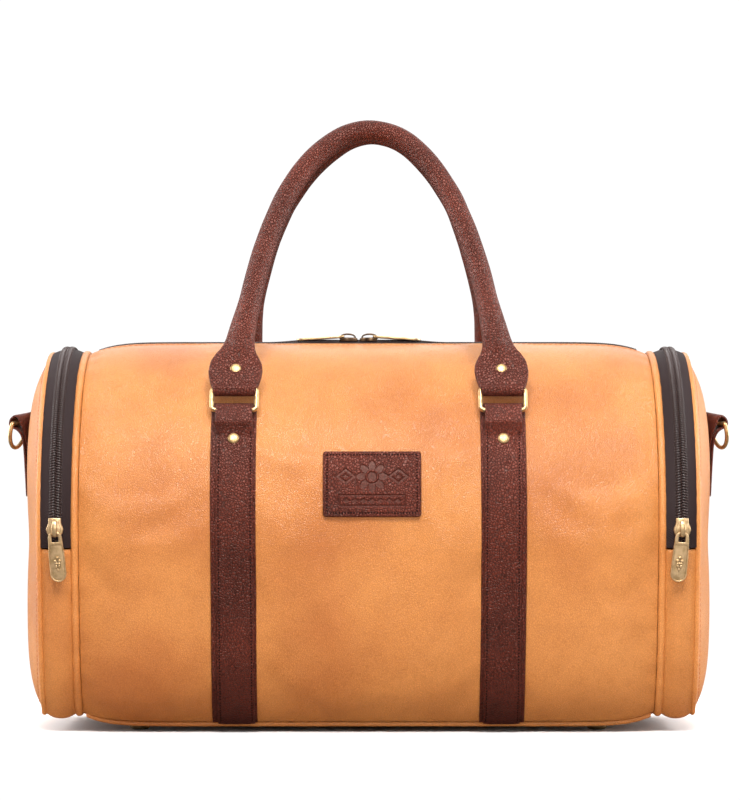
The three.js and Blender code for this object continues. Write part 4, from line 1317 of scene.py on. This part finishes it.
def slider():
    outline = [(-x, y) for x, y in SLIDER_HALF[:1]] + SLIDER_HALF
    outline += [(-x, y) for x, y in SLIDER_HALF[:0:-1]]
    body = curve_plate([outline], SLIDER_H, 0.5)
    land = curve_plate([[(x * 0.74, y * 0.80 + 0.2) for x, y in outline]], 0.9, 0.3)
    # bridge: a humped strap over the pull's crossbar, widest at its top
    a = circle(16)
    squared = np.sign(np.cos(a)) * np.abs(np.cos(a)) ** 0.6
    sections = []
    for t in np.linspace(0, 180, 33):
        c, s = math.cos(t * DEG), math.sin(t * DEG)
        y = -0.75 + 5.65 * c
        z = SLIDER_H - 0.4 + 3.45 * max(0.0, s) ** 0.7
        half_width = 1.15 + 0.75 * s**1.5 * (1.0 if c < 0.3 else 0.85)
        half_thick = 0.55 + 0.12 * s
        across = half_thick * np.sin(a)
        sections.append(np.stack([half_width * squared, y + across * c, z + across * s], 1))
    return merge([
        shifted(body, [0, 0, SLIDER_H / 2]), shifted(land, [0, 0, SLIDER_H + 0.05]), loft(sections)
    ])


PULL_END_Y, PULL_END_R = -29.0, 5.7
WINDOW_R = 4.65
# Right halves of the pull's upper end and of its slot: x, y
PULL_TOP = [
    (0.0, 0.75), (1.3, 0.7), (2.5, 0.42), (3.5, -0.25), (4.3, -1.3), (4.75, -2.6),
    (4.88, -4.2),
]
PULL_SLOT = [
    (0.0, -0.55), (1.2, -0.65), (2.0, -1.15), (2.4, -2.0), (2.45, -3.2), (2.5, -5.9),
    (2.2, -6.4), (0, -6.45),
]
# Raised oval beads: y, then half width, half height; x is 0 or a mirrored pair
PULL_BEADS = [
    (0, -17.6, 1.25, 1.05), (-1.5, -19.9, 1.35, 1.15), (1.5, -19.9, 1.35, 1.15),
    (0, -21.6, 2.5, 0.85), (-1.1, -23.7, 1.1, 1.3), (1.1, -23.7, 1.1, 1.3),
    (0, -26.0, 0.95, 1.1),
]


def pull():
    """Flat pull with a slot, a raised rim round a sunk face, and beads on the face."""
    half = PULL_TOP + [
        (float(np.interp(-y, [4.2, 16, 29], [4.88, 5.6, PULL_END_R])), float(y))
        for y in np.linspace(-7, PULL_END_Y, 12)
    ]
    outline = mirrored_loop(half + arc(0, PULL_END_Y, PULL_END_R, 0, -90, 12)[1:])
    slot = mirrored_loop(PULL_SLOT)
    half = [(0.0, -8.4), (3.6, -8.4), (4.3, -9.0)]
    half += [
        (float(np.interp(-y, [9, 16, 29], [4.35, 4.6, WINDOW_R])), float(y))
        for y in np.linspace(-10.5, -28.8, 9)
    ]
    window = mirrored_loop(half + arc(0, PULL_END_Y, WINDOW_R, -6, -90, 10))
    parts = [
        shifted(curve_plate([outline, slot], 1.0, 0.25), [0, 0, -0.25]),
        curve_plate([outline, slot, window], 1.7, 0.34),
    ]
    for x, y, w, h in PULL_BEADS:
        turns = np.linspace(0, 2 * math.pi, 18, endpoint=False)
        oval = [(x + w * math.sin(t), y + h * math.cos(t)) for t in turns]
        parts.append(shifted(curve_plate([oval], 1.15, 0.42), [0, 0, 0.42]))
    return merge(parts)


SLIDER, PULL = slider(), pull()


def hung_pull(swing, tilt=4):
    """The pull on its slider, swung sideways and tilted, both in degrees."""
    (x, y, z), faces = PULL[0].T, PULL[1]
    c, s = math.cos(swing * DEG), math.sin(swing * DEG)
    x, y = x * c - y * s, x * s + y * c
    c, s = math.cos(tilt * DEG), math.sin(tilt * DEG)
    y, z = y * c - z * s, y * s + z * c
    return np.stack([x, y, z], 1) + [0, PULL_Y, PULL_Z], faces


POCKET_SLIDER_ANGLE = -92.8 * DEG
slider_v, slider_n = circle_axes(POCKET_SLIDER_ANGLE)
slider_r = BODY_R - 2.1
pocket_seat = (
    (ZIP_X, slider_r * slider_n[1], BODY_Z + slider_r * slider_n[2]),
    (1, 0, 0), slider_v, slider_n,
)
for side, move in SIDES:
    for part, geometry in (("slider", SLIDER), ("pull", hung_pull(swing=-5))):
        name = f"{side}_pocket_{part}"
        seated = place(geometry, *pocket_seat)
        add(name + "_skin", seated, BRASS, name + "_body", name, move=move)

MAIN_SLIDER_Z = BODY_Z + BODY_R + 1.2
# side, x, direction across the slider, direction along it
MAIN_SLIDERS = (
    ("left", -14.6, (0, -1, 0), (1, 0, 0)),
    ("right", 0, (0, 1, 0), (-1, 0, 0)),
)
for side, x, u, v in MAIN_SLIDERS:
    seat = ((x, 0, MAIN_SLIDER_Z), u, v, (0, 0, 1))
    for part, geometry, metal in (("slider", SLIDER, BRONZE), ("pull", hung_pull(0), BRASS)):
        name = f"{side}_main_{part}"
        seated = place(geometry, *seat)
        add(name + "_skin", seated, metal, name + "_body", f"main_zip_{part}_{side}")


# --------------------------------------------------------------------- straps
STRAP_TOP_HALF = 13.25
STRAP_STITCH = 11.2  # stitch rows, from the strap's middle
BAR_TURN_R = 3.25
# Where the top layer leaves the face for the ring: phi, offset
STRAP_LIFT = [
    (-64.6, 2.95), (-63.7, 2.9), (-63.0, 3.5), (-62.0, 5.2), (-60.9, 7.4), (-59.9, 9.3)
]


def strap_sway(s, x_mid):
    return 0.18 * math.sin(s / 31.0 + x_mid)


def strap_backing(x_mid):
    start, end = float(arc_at(51.3)), float(arc_at(151.0))
    section = rounded_rect(-16, 16, 0.45, 2.25, 0.75, 20, 3)
    sections = []
    for s in np.linspace(start, end, 150):
        narrowing = 1 - 0.06 * math.exp(-(((s - start) / 1.2) ** 2))
        thinning = 0.45 + 0.55 * smooth((end - s) / 9)
        x = x_mid + strap_sway(s, x_mid) + section[:, 0] * narrowing
        phi = np.full(len(section), float(phi_at(-s)))
        sections.append(on_body(x, phi, section[:, 1] * thinning))
    return loft(sections)


def strap_top(x_mid):
    """Top layer: up the face, over the ring's lower bar and back behind it; and stitches."""
    shift = 1.1 if x_mid < 0 else -0.4
    phi = np.linspace(-150.6, -66.0, 60)
    tuck = 1 - smooth((arc_at(150.6) - arc_at(-phi)) / 10)
    face = on_body(0, phi, 3.15 - 1.5 * tuck)[:, 1:]
    lift = on_body(0, *np.array(STRAP_LIFT).T)[:, 1:]
    up, out = circle_axes(math.atan2(BAR_LOW[0], BAR_LOW[1] - BODY_Z))
    up, out = np.array(up[1:]), np.array(out[1:])
    over = [
        BAR_LOW + out * (BAR_TURN_R * math.cos(a)) + up * (BAR_TURN_R * math.sin(a))
        for a in np.linspace(-20, 205, 16) * DEG
    ]
    path, dist = resample(catmull(np.vstack([face, lift, over]), 5), step=1.12)
    along = tangents(path)
    normal = np.stack([-along[:, 1], along[:, 0]], 1)
    section = rounded_rect(-STRAP_TOP_HALF, STRAP_TOP_HALF, -0.95, 0.95, 0.8, 26, 3)
    across, height = section.T
    on_face = height > 0.5
    length = dist[-1]

    def middle(s):
        return x_mid + shift * float(smooth((length - s - 20) / 20)) + strap_sway(s, x_mid)

    trough = -0.28 * np.exp(-(((np.abs(across) - STRAP_STITCH) / 0.7) ** 2))
    pillow = np.where(on_face, 0.28 * (1 - (across / STRAP_TOP_HALF) ** 4), 0)
    sections = []
    for p, n, s in zip(path, normal, dist):
        from_end = length - s
        groove = np.where(on_face, trough * smooth((from_end - 34) / 4), 0)
        curl = 0.35 * math.sin(s / 9.0) * smooth((30 - from_end) / 20)
        offset = height + groove + pillow + curl * (across / STRAP_TOP_HALF) ** 2
        narrowing = 1 - 0.03 * smooth((22 - from_end) / 10)
        sections.append(np.stack(
            [middle(s) + across * narrowing, p[0] + n[0] * offset, p[1] + n[1] * offset], 1
        ))

    centres, directions, normals = [], [], []
    for q in np.arange(5, length - 31, 2.25):
        i = nearest(dist, q)
        x = x_mid + shift * float(smooth((length - q - 20) / 20)) + strap_sway(dist[i], x_mid)
        for w in (-STRAP_STITCH, STRAP_STITCH):
            centres.append([x + w, *(path[i] + normal[i] * 0.85)])
            directions.append([0, *along[i]])
            normals.append([0, *normal[i]])
    # wide dark stitches: dark thread, and painted shade standing in for the stitch holes
    threads = stitches(
        centres, directions, normals, length=1.35, radius=0.42, tilt=0.12, sink=0.05
    )
    return loft(sections), threads


# Domed head and short shank: radius, z
RIVET = revolve([
    (0.0, 1.45), (1.2, 1.42), (2.3, 1.30), (3.1, 1.08), (3.6, 0.80), (3.9, 0.50), (4.04, 0.22),
    (4.02, 0.02), (3.75, -0.12), (1.5, -0.12), (1.5, -1.0), (0.0, -1.0),
])

# Rectangular ring standing between its lower and upper bars
RING_UP = np.array([0, *(BAR_UP - BAR_LOW)])
RING_H = np.linalg.norm(RING_UP)
RING_UP = RING_UP / RING_H
RING_OUT = np.array([0, -RING_UP[2], RING_UP[1]])
RING_HALF, RING_CORNER = 15.75, 2.6


def ring():
    r = RING_CORNER
    x = RING_HALF - r
    outline = arc(x, r, r, -90, 0, 8) + arc(x, RING_H - r, r, 0, 90, 8)
    outline += arc(-x, RING_H - r, r, 90, 180, 8) + arc(-x, r, r, 180, 270, 8)
    return wire(outline, 1.72, 120)


RING = ring()

# -------------------------------------------------------------------- handles
# Local axes: u along X, v up the leaning handle from the rings' upper bars, n outwards.
# Right half of the grip's middle line, top to foot: u, v
HANDLE_HALF = [
    (15.5, 209.6), (28.2, 202.2), (39.4, 190.8), (47.7, 179.1), (54.6, 166.9), (60.8, 154.7),
    (65.5, 142.6), (70.0, 130.4), (73.7, 118.2), (77.1, 106), (80.1, 93.8), (82.7, 81.7),
    (85.0, 69.5), (87.7, 57.1), (90.6, 42), (93.0, 26), (94.4, 12), (94.9, 0.0),
]
HANDLE_LINE = [(-u, v) for u, v in HANDLE_HALF[::-1]] + [(0, 212.5)] + HANDLE_HALF
# v, width, thickness
HANDLE_SIZE = np.array([
    (-8, 28.5, 5.0), (0, 32.5, 5.0), (5, 35.6, 5.2), (10, 37.6, 5.5), (15, 38.2, 6.0),
    (20, 36.6, 6.9), (25.5, 31, 8.2), (29, 26.2, 9.6), (33, 22.6, 10.8), (38, 20.6, 12.0),
    (43, 19.6, 13.0), (52, 18.2, 14.2), (62, 16.8, 15.0), (75, 15.8, 15.4), (400, 15.4, 15.4),
])
HANDLE_SEAM = math.radians(205)  # direction of the seam round the grip's section
HANDLE_SEAT = (
    (0, *BAR_UP),
    (1, 0, 0),
    (0, math.sin(HANDLE_LEAN), math.cos(HANDLE_LEAN)),
    (0, -math.cos(HANDLE_LEAN), math.sin(HANDLE_LEAN)),
)
HANDLE_WAVES = waves(61, 7, 0.06, 0.22)


def handle_line(face):
    """The soft grips hang a little untrue, each in its own way."""
    sign = 1 if face == "front" else -1
    points = []
    for u, v in HANDLE_LINE:
        sag = 1.9 * math.exp(-(((sign * u + 27) / 14) ** 2)) if v > 120 else 0
        if face == "rear":
            wide = 3.4 * float(smooth((v - 35) / 45)) * float(smooth((205 - v) / 60))
            lean = 1.8 * float(smooth((v - 110) / 80))
            u = u + (wide if u > 0 else -wide if u < 0 else 0) - lean
        points.append((u, v - sag))
    return points


def rounded(values, power):
    return np.sign(values) * np.abs(values) ** power


def handle(face):
    """The grip, flattening to a broad foot at each ring, and the stitches on its seam."""
    line, dist = resample(catmull(handle_line(face), 10), step=1.6)
    for _ in range(3):
        line[1:-1] = (line[:-2] + 2 * line[1:-1] + line[2:]) / 4
    along = tangents(line)
    along[0] = (0, 1)
    along[-1] = (0, -1)
    outward = np.stack([along[:, 1], -along[:, 0]], 1)
    a = circle(56)
    ca, sa = np.cos(a), np.sin(a)
    from_seam = ((a - HANDLE_SEAM) + np.pi) % (2 * np.pi) - np.pi
    sections = []
    for (u, v), out, s in zip(line, outward, dist):
        width, thick = (np.interp(v, HANDLE_SIZE[:, 0], HANDLE_SIZE[:, i]) for i in (1, 2))
        roundness = smooth((v - 26) / 34)
        power = 0.55 + 0.45 * roundness
        cu = rounded(ca, power)
        across = cu * width / 2
        # round tube above; below, two thin wings with the end of the core between them
        tube = rounded(sa, power) * thick / 2
        wing = 1.9 * rounded(sa, 0.4)
        core = np.exp(-((across / (5.2 + 0.05 * max(v, 0))) ** 2)) * (thick / 2 - 1.9)
        core = core * smooth((v - 17) / 16) * rounded(sa, 0.6)
        height = roundness * tube + (1 - roundness) * (wing + core)
        # the face sinks round the rivet
        from_rivet = np.hypot(across, v - HANDLE_RIVET)
        dip = 0.55 * np.exp(-((from_rivet / 6.5) ** 2)) * (1 - roundness)
        height = height - np.where(sa > 0.1, dip, 0)
        cn = height / (thick / 2)
        lumps = 1 + 0.012 * wave_noise(s, a * 5, HANDLE_WAVES) * roundness
        ridge = 1.5 * np.exp(-((from_seam / 0.13) ** 2)) * smooth((v - 52) / 22)
        length = np.hypot(cu, cn) + 1e-9
        r = (width / 2) * cu * lumps + ridge * cu / length
        n = (thick / 2) * cn * lumps + ridge * cn / length
        sections.append(np.stack([u + out[0] * r, v + out[1] * r, n], 1))

    centres, directions, normals = [], [], []
    radius = 9.05
    cu, cn = math.cos(HANDLE_SEAM + 0.085), math.sin(HANDLE_SEAM + 0.085)
    for q in np.arange(62, dist[-1] - 62, 4.0):
        i = nearest(dist, q)
        if line[i, 1] < 62:
            continue
        normal = np.array([*(outward[i] * cu), cn])
        centres.append([*(line[i] + outward[i] * radius * cu), radius * cn])
        directions.append([*along[i], 0])
        normals.append(normal / np.linalg.norm(normal))
    return loft(sections), stitches(centres, directions, normals, **SEAM_STITCH)


def handle_loops():
    """Leather turned round the rings' upper bars, under the handle's two feet."""
    path = [(v, -1.85) for v in np.linspace(13, 1.0, 6)]
    path += [
        (-0.6 - 4.5 * math.sin(a), -3.3 * math.cos(a)) for a in np.linspace(0, 180, 15) * DEG
    ]
    path += [(v, 1.85) for v in np.linspace(1.0, 13, 6)]
    path, _ = resample(catmull(path, 5), count=70)
    along = tangents(path)
    parts = []
    for side in (-1, 1):
        sections = []
        for p, t in zip(path, along):
            half = (np.interp(p[0], HANDLE_SIZE[:, 0], HANDLE_SIZE[:, 1]) - 0.6) / 2
            u, d = rounded_rect(-half, half, -1.0, 1.0, 0.8, 18, 3).T
            u = side * HANDLE_HALF[-1][0] + u
            sections.append(np.stack([u, p[0] + t[1] * d, p[1] - t[0] * d], 1))
        parts.append(loft(sections))
    return merge(parts)


def handle_rivets(side):
    """A head on the outer face and a smaller one behind."""
    x = side * HANDLE_RIVET_X
    head = shifted(RIVET, [x, HANDLE_RIVET, 1.75])
    back = RIVET[0] * [0.85, 0.85, -0.6] + [x, HANDLE_RIVET, -2.0]
    return merge([head, (back, [tuple(reversed(f)) for f in RIVET[1]])])


def strap_rivet(x):
    v, n = circle_axes(-math.acos((207.5 - BODY_Z) / BODY_R))
    r = BODY_R + 4.35
    return place(RIVET, (x, r * n[1], BODY_Z + r * n[2]), (1, 0, 0), v, n)


LOOPS = handle_loops()
# Each face's parts are built for the front; the rear's are given half a turn.
for face, move in (("front", np.asarray), ("rear", half_turn)):
    body = face + "_handle_body"
    skin, threads = handle(face)
    name = face + "_handle"
    skin, loops, threads = (place(k, *HANDLE_SEAT) for k in (skin, LOOPS, threads))
    add(name + "_skin", skin, DARK, body, name, sharp=60, move=move)
    add(name + "_loops", loops, DARK, body, move=move)
    add(name + "_stitches", threads, THREAD_DARK_AND_HOLE_SHADE, body, sharp=0, move=move)
    for side_name, side in (("left", -1), ("right", 1)):
        if face == "rear":
            side = -side
        x = side * RING_X
        tag = f"{face}_{side_name}"
        seated = place(RING, (x, *BAR_LOW), (1, 0, 0), RING_UP, RING_OUT)
        add(tag + "_ring_wire", seated, BRASS_RING_PAINTED_SHADE, tag + "_ring_body", tag + "_ring",
            sharp=0, move=move)
        top, threads = strap_top(x)
        add(tag + "_strap_backing", strap_backing(x), DARK, "bag", tag + "_strap", move=move)
        add(tag + "_strap_top", top, DARK, "bag", move=move)
        add(tag + "_strap_stitches", threads, THREAD_DARK_AND_HOLE_SHADE, "bag", sharp=0, move=move)
        add(tag + "_strap_rivet_head", strap_rivet(x), BRASS_RIVET_PAINTED_SHADE, "bag",
            tag + "_strap_rivet", move=move)
        add(tag + "_handle_rivet_heads", place(handle_rivets(side), *HANDLE_SEAT),
            BRASS_RIVET_PAINTED_SHADE, body, tag + "_handle_rivet", flip=False, move=move)


# ---------------------------------------------------------------------- patch
def ornament(x, y):
    """Depth, 0 to 1, of the pressed design: y is up from the patch's middle."""
    def inside(distance):
        return 1 / (1 + np.exp(np.clip(distance / 0.13, -30, 30)))

    # a rosette between two lozenges
    y_rosette = y - 5.0
    r = np.hypot(x, y_rosette)
    angle = np.arctan2(y_rosette, x)
    petals = r - (5.2 + 6.2 * np.abs(np.cos(4 * angle)) ** 0.7)
    shapes = [inside(petals) * inside(1.6 - np.abs(r - 4.0) * 1.6 - 0.55), inside(r - 2.2)]
    for x_mid in (-18.5, 18.5):
        q = np.abs(x - x_mid) * 0.78 + np.abs(y_rosette)
        shapes += [inside(q - 6.0) * inside(3.4 - q), inside(q - 1.9)]
    # over a framed row of beads
    y_row = y + 12.0
    border = np.maximum(np.abs(x) - 23.0, np.abs(y_row) - 3.6)
    shapes.append(inside(np.abs(border) - 0.55))
    for x_mid in np.arange(-18.0, 18.1, 6.0):
        shapes.append(inside(np.abs(x - x_mid) * 0.7 + np.abs(y_row) - 1.9))
    return np.max(shapes, axis=0)


PATCH_TOP_S = float(arc_at(PATCH_PHI)) - PATCH_H / 2


def patch_skin():
    """The patch, and how deeply each of its section points is pressed."""
    corner, edge_lap, edge_width = 2.6, 3, 0.8
    columns = 278
    bend = np.linspace(0, 90, 5) * DEG
    downs = np.concatenate([
        np.linspace(0, edge_lap, 12),
        np.linspace(edge_lap, PATCH_H - edge_lap, 166)[1:-1],
        np.linspace(PATCH_H - edge_lap, PATCH_H, 12),
    ])
    sections, pressed = [], []
    for down in downs:
        q = min(down, PATCH_H - down)
        inset = 0
        if q < corner:
            inset = corner - math.sqrt(max(0, corner**2 - (corner - q) ** 2))
        lift = 1 - max(0, 1 - q / edge_width) ** 2 * 0.7
        half = PATCH_W / 2 - inset
        top = 2.15 * lift
        r = 0.75 * lift
        x = np.concatenate([
            -half + r * (1 - np.cos(bend)),
            np.linspace(-half + r, half - r, columns + 2)[1:-1],
            half - r * (1 - np.cos(bend[::-1])),
        ])
        z = np.concatenate([
            top - r + r * np.sin(bend), np.full(columns, top), top - r + r * np.sin(bend[::-1])
        ])
        # trough under the stitches
        dx = np.minimum(np.abs(np.abs(x) - (PATCH_W / 2 - PATCH_INSET)), 9)
        upright = np.where(q > 2.0, np.exp(-((dx / 0.6) ** 2)), 0)
        level = math.exp(-((abs(q - PATCH_INSET) / 0.6) ** 2))
        level = np.where(np.abs(x) < PATCH_W / 2 - 2.0, level, 0)
        design = ornament(x, PATCH_H / 2 - down)
        z = z - 0.16 * np.maximum(upright, level) - 0.60 * design
        back = x[::-1][::12]
        pressed.append(np.concatenate([design, np.zeros(len(back))]))
        section_x = np.concatenate([x, back])
        section_z = np.concatenate([z, np.zeros(len(back))])
        phi = np.full(len(section_x), float(phi_at(-(PATCH_TOP_S + down))))
        sections.append(on_body(PATCH_X + section_x, phi, 0.45 + section_z))
    return loft(sections), np.concatenate(pressed)


def patch_stitches():
    half_w, half_h = PATCH_W / 2, PATCH_H / 2
    first, pitch = 3.4, 2.05
    rows_s = np.arange(-half_h + first, half_h - 3, pitch)
    rows_x = np.arange(-half_w + first, half_w - 3, pitch)
    side_x, side_s = half_w - PATCH_INSET, half_h - PATCH_INSET
    x = np.concatenate([np.tile([-side_x, side_x], len(rows_s)), np.repeat(rows_x, 2)])
    s = np.concatenate([np.repeat(rows_s, 2), np.tile([-side_s, side_s], len(rows_x))])
    phi = phi_at(-(arc_at(PATCH_PHI) + s))
    along, normals = body_axes(phi)
    along[2 * len(rows_s):] = (1, 0, 0)
    centres = on_body(PATCH_X + x, phi, 2.42)
    # wide dark stitches: dark thread, and painted shade standing in for the stitch holes
    return stitches(centres, along, normals, length=1.2, radius=0.48, tilt=0.1, sink=0.05)


skin, pressed = patch_skin()
ob = make("maker_patch_skin", skin, DARK)
# the vertices after the sections' own are the end hubs, which aren't pressed
pressed = np.pad(pressed, (0, len(ob.data.vertices) - len(pressed))).astype(np.float32)
ob.data.attributes.new("pressed", "FLOAT", "POINT").data.foreach_set("value", pressed)
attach(ob, "bag")
label(ob, "maker_patch")
add("maker_patch_stitches", patch_stitches(), THREAD_DARK_AND_HOLE_SHADE, "bag", sharp=0)


# ------------------------------------------------------- lining, feet and board
def lining():
    table = waves(71, 8, 0.03, 0.09)
    s = np.linspace(12, 2 * ARC_END - 12, 150)
    phi = phi_around(s)
    sections = []
    for x in np.linspace(-201.5, 201.5, 100):
        offset = crown(x) - 4.8 - 0.45 * wave_noise(x, s, table)
        offset = offset - smooth((abs(x) - 190) / 12)
        outer = on_body(x, phi, offset)
        inner = on_body(x, phi[::-1], offset[::-1] - 0.9)
        sections.append(np.vstack([outer, inner]))
    parts = [loft(sections)]

    # end walls, whose rims turn outward into the seam piping
    phi = phi_at(np.linspace(-ARC_END, ARC_END, 180, endpoint=False))
    rim = on_body(np.zeros(180), phi, float(crown(202.6)) - 3.4)[:, 1:]
    turn_from = 0.955
    shares = np.concatenate(
        [np.linspace(0.0, turn_from, 24)[1:], np.linspace(turn_from, 1.0, 6)[1:]]
    )
    for side in (-1, 1):
        rings = []
        for out, order in ((1.2, shares), (0.0, shares[::-1])):
            for share in order:
                y = rim[:, 0] * share
                z = DOME_Z + (rim[:, 1] - DOME_Z) * share
                x = side * (200.6 + out + 4.1 * smooth((share - turn_from) / 0.045))
                x = x + 0.8 * wave_noise(y, z, table) * (1 - share**3)
                rings.append(np.stack([x, y, z], 1))
        parts.append(loft(rings))
    return merge(parts)


add("lining_skin", lining(), LINING, "bag", "main_lining")

# radius, z
FOOT = revolve([
    (0, 0.0), (4.4, 0.05), (5.9, 0.45), (6.9, 1.3), (7.4, 2.5), (7.5, 3.6), (7.3, 4.4),
    (6.6, 4.85), (0, 4.9),
])
for face, y in (("front", -55), ("rear", 55)):
    for side, x in (("left", -165), ("right", 165)):
        name = f"foot_{face}_{side}"
        add(name + "_skin", shifted(FOOT, [x, y, 0]), BRASS, "bag", name)

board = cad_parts["base_board"]
board.data.materials.clear()
board.data.materials.append(BOARD)


# ---------------------------------------------------------------------- stage
# Lengths are in metres from here on.
def floor_paper():
    """Paper that looks white to the camera, tints bounced light and glows away from the bag."""
    material, tree, shader = new_material("floor_paper")
    rays = node(tree, "LightPath").outputs
    bounced = mix(tree, rays["Is Glossy Ray"], (0.50, 0.46, 0.42), (0.10, 0.09, 0.08))
    set_inputs(tree, shader, {
        "Base Color": mix(tree, rays["Is Camera Ray"], bounced, (0.95, 0.95, 0.95)),
        "Roughness": 0.9,
        "Specular IOR Level": 0.1,
    })
    position = node(tree, "NewGeometry").outputs["Position"]
    oval = mapping(tree, position, scale=(0.75, 1.15, 0))
    distance = node(tree, "VectorMath", {0: oval}, operation="LENGTH").outputs["Value"]
    away = node(tree, "MapRange", {
        "From Min": 0.24, "From Max": 0.50, "Value": distance,
    }, interpolation_type="SMOOTHSTEP").outputs[0]
    factor = calculate(tree, "MULTIPLY", away, rays["Is Camera Ray"])
    glow = node(tree, "Emission", {0: (1, 1, 1), 1: 1.05})
    mixed = node(tree, "MixShader", {0: factor, 1: shader.outputs[0], 2: glow.outputs[0]})
    tree.links.new(mixed.outputs[0], tree.nodes["Material Output"].inputs[0])
    return material


def floor():
    count, radius = 64, 25
    mesh = bpy.data.meshes.new("floor")
    rim = [
        (radius * math.cos(2 * math.pi * k / count), radius * math.sin(2 * math.pi * k / count), 0)
        for k in range(count)
    ]
    faces = [(0, 1 + k, 1 + (k + 1) % count) for k in range(count)]
    mesh.from_pydata([(0, 0, 0)] + rim, [], faces)
    ob = link("floor", mesh)
    mesh.materials.append(floor_paper())


floor()


def studio_world():
    """White to the camera; soft light from above for the rest, dimmer in reflections."""
    world = bpy.data.worlds.new("studio")
    bpy.context.scene.world = world
    world.use_nodes = True
    tree = world.node_tree
    tree.nodes.clear()
    output = node(tree, "OutputWorld")
    direction = node(tree, "TexCoord").outputs["Generated"]
    z = node(tree, "SeparateXYZ", {0: direction}).outputs["Z"]
    height = calculate(tree, "ADD", calculate(tree, "MULTIPLY", z, 0.5), 0.5)
    ambient = ramp(
        tree, height, (0.0, 0.10), (0.42, 0.20), (0.55, 0.34), (0.85, 0.75), (1.0, 0.85)
    )
    glossy = ramp(
        tree, height,
        (0.0, 0.05), (0.45, 0.09), (0.52, 0.16), (0.62, 0.34), (0.8, 0.45), (1.0, 0.35),
    )
    rays = node(tree, "LightPath").outputs
    colour = mix(tree, rays["Is Glossy Ray"], ambient, glossy)
    lighting = node(tree, "Background", {0: colour, 1: 1.0})
    backdrop = node(tree, "Background", {0: (1, 1, 1), 1: 1.05})
    mixed = node(tree, "MixShader", {
        0: rays["Is Camera Ray"], 1: lighting.outputs[0], 2: backdrop.outputs[0],
    })
    tree.links.new(mixed.outputs[0], output.inputs[0])


studio_world()


def area(name, location, target, width, height, power, colour=(1, 1, 1)):
    light = bpy.data.lights.new(name, "AREA")
    light.energy = power
    light.color = colour
    light.shape = "RECTANGLE"
    light.size = width
    light.size_y = height
    ob = bpy.data.objects.new(name, light)
    ob.location = location
    aim = Vector(target) - Vector(location)
    ob.rotation_euler = aim.to_track_quat("-Z", "Y").to_euler()
    bpy.context.scene.collection.objects.link(ob)


# name, location, target, width, height, power in watts
LIGHTS = (
    ("key_left", (-0.26, -1.35, 1.60), (-0.03, -0.05, 0.2), 0.42, 0.62, 21),
    ("key_right", (0.34, -1.35, 1.60), (0.03, -0.05, 0.2), 0.42, 0.62, 25),
    ("front_fill", (0.35, -2.5, 0.50), (0.03, 0, 0.15), 1.5, 0.8, 13, (1.0, 0.98, 0.95)),
    ("top", (0, 0.1, 2.1), (0, 0, 0.2), 1.3, 1.3, 6),
    ("side_left", (-1.35, 0.35, 0.55), (-0.2, 0, 0.15), 0.9, 1.1, 25),
    ("side_right", (1.35, 0.35, 0.55), (0.2, 0, 0.15), 0.9, 1.1, 25),
    ("back", (0, 2.0, 1.5), (0, 0, 0.2), 1.6, 1.6, 11),
)
for light in LIGHTS:
    area(*light)

scene = bpy.context.scene
scene.view_settings.view_transform = "Standard"
scene.view_settings.look = "None"
scene.view_settings.exposure = 0.0

camera = bpy.data.cameras.new("camera")
camera.lens = 154.1
camera.sensor_width = 36
camera.shift_x = 0.001875
camera.shift_y = 0.1
camera.clip_end = 100
camera_object = link("camera", camera)
camera_object.location = (0, -2.528, 0.180)
camera_object.rotation_euler = (math.pi / 2, 0, 0)
scene.camera = camera_object
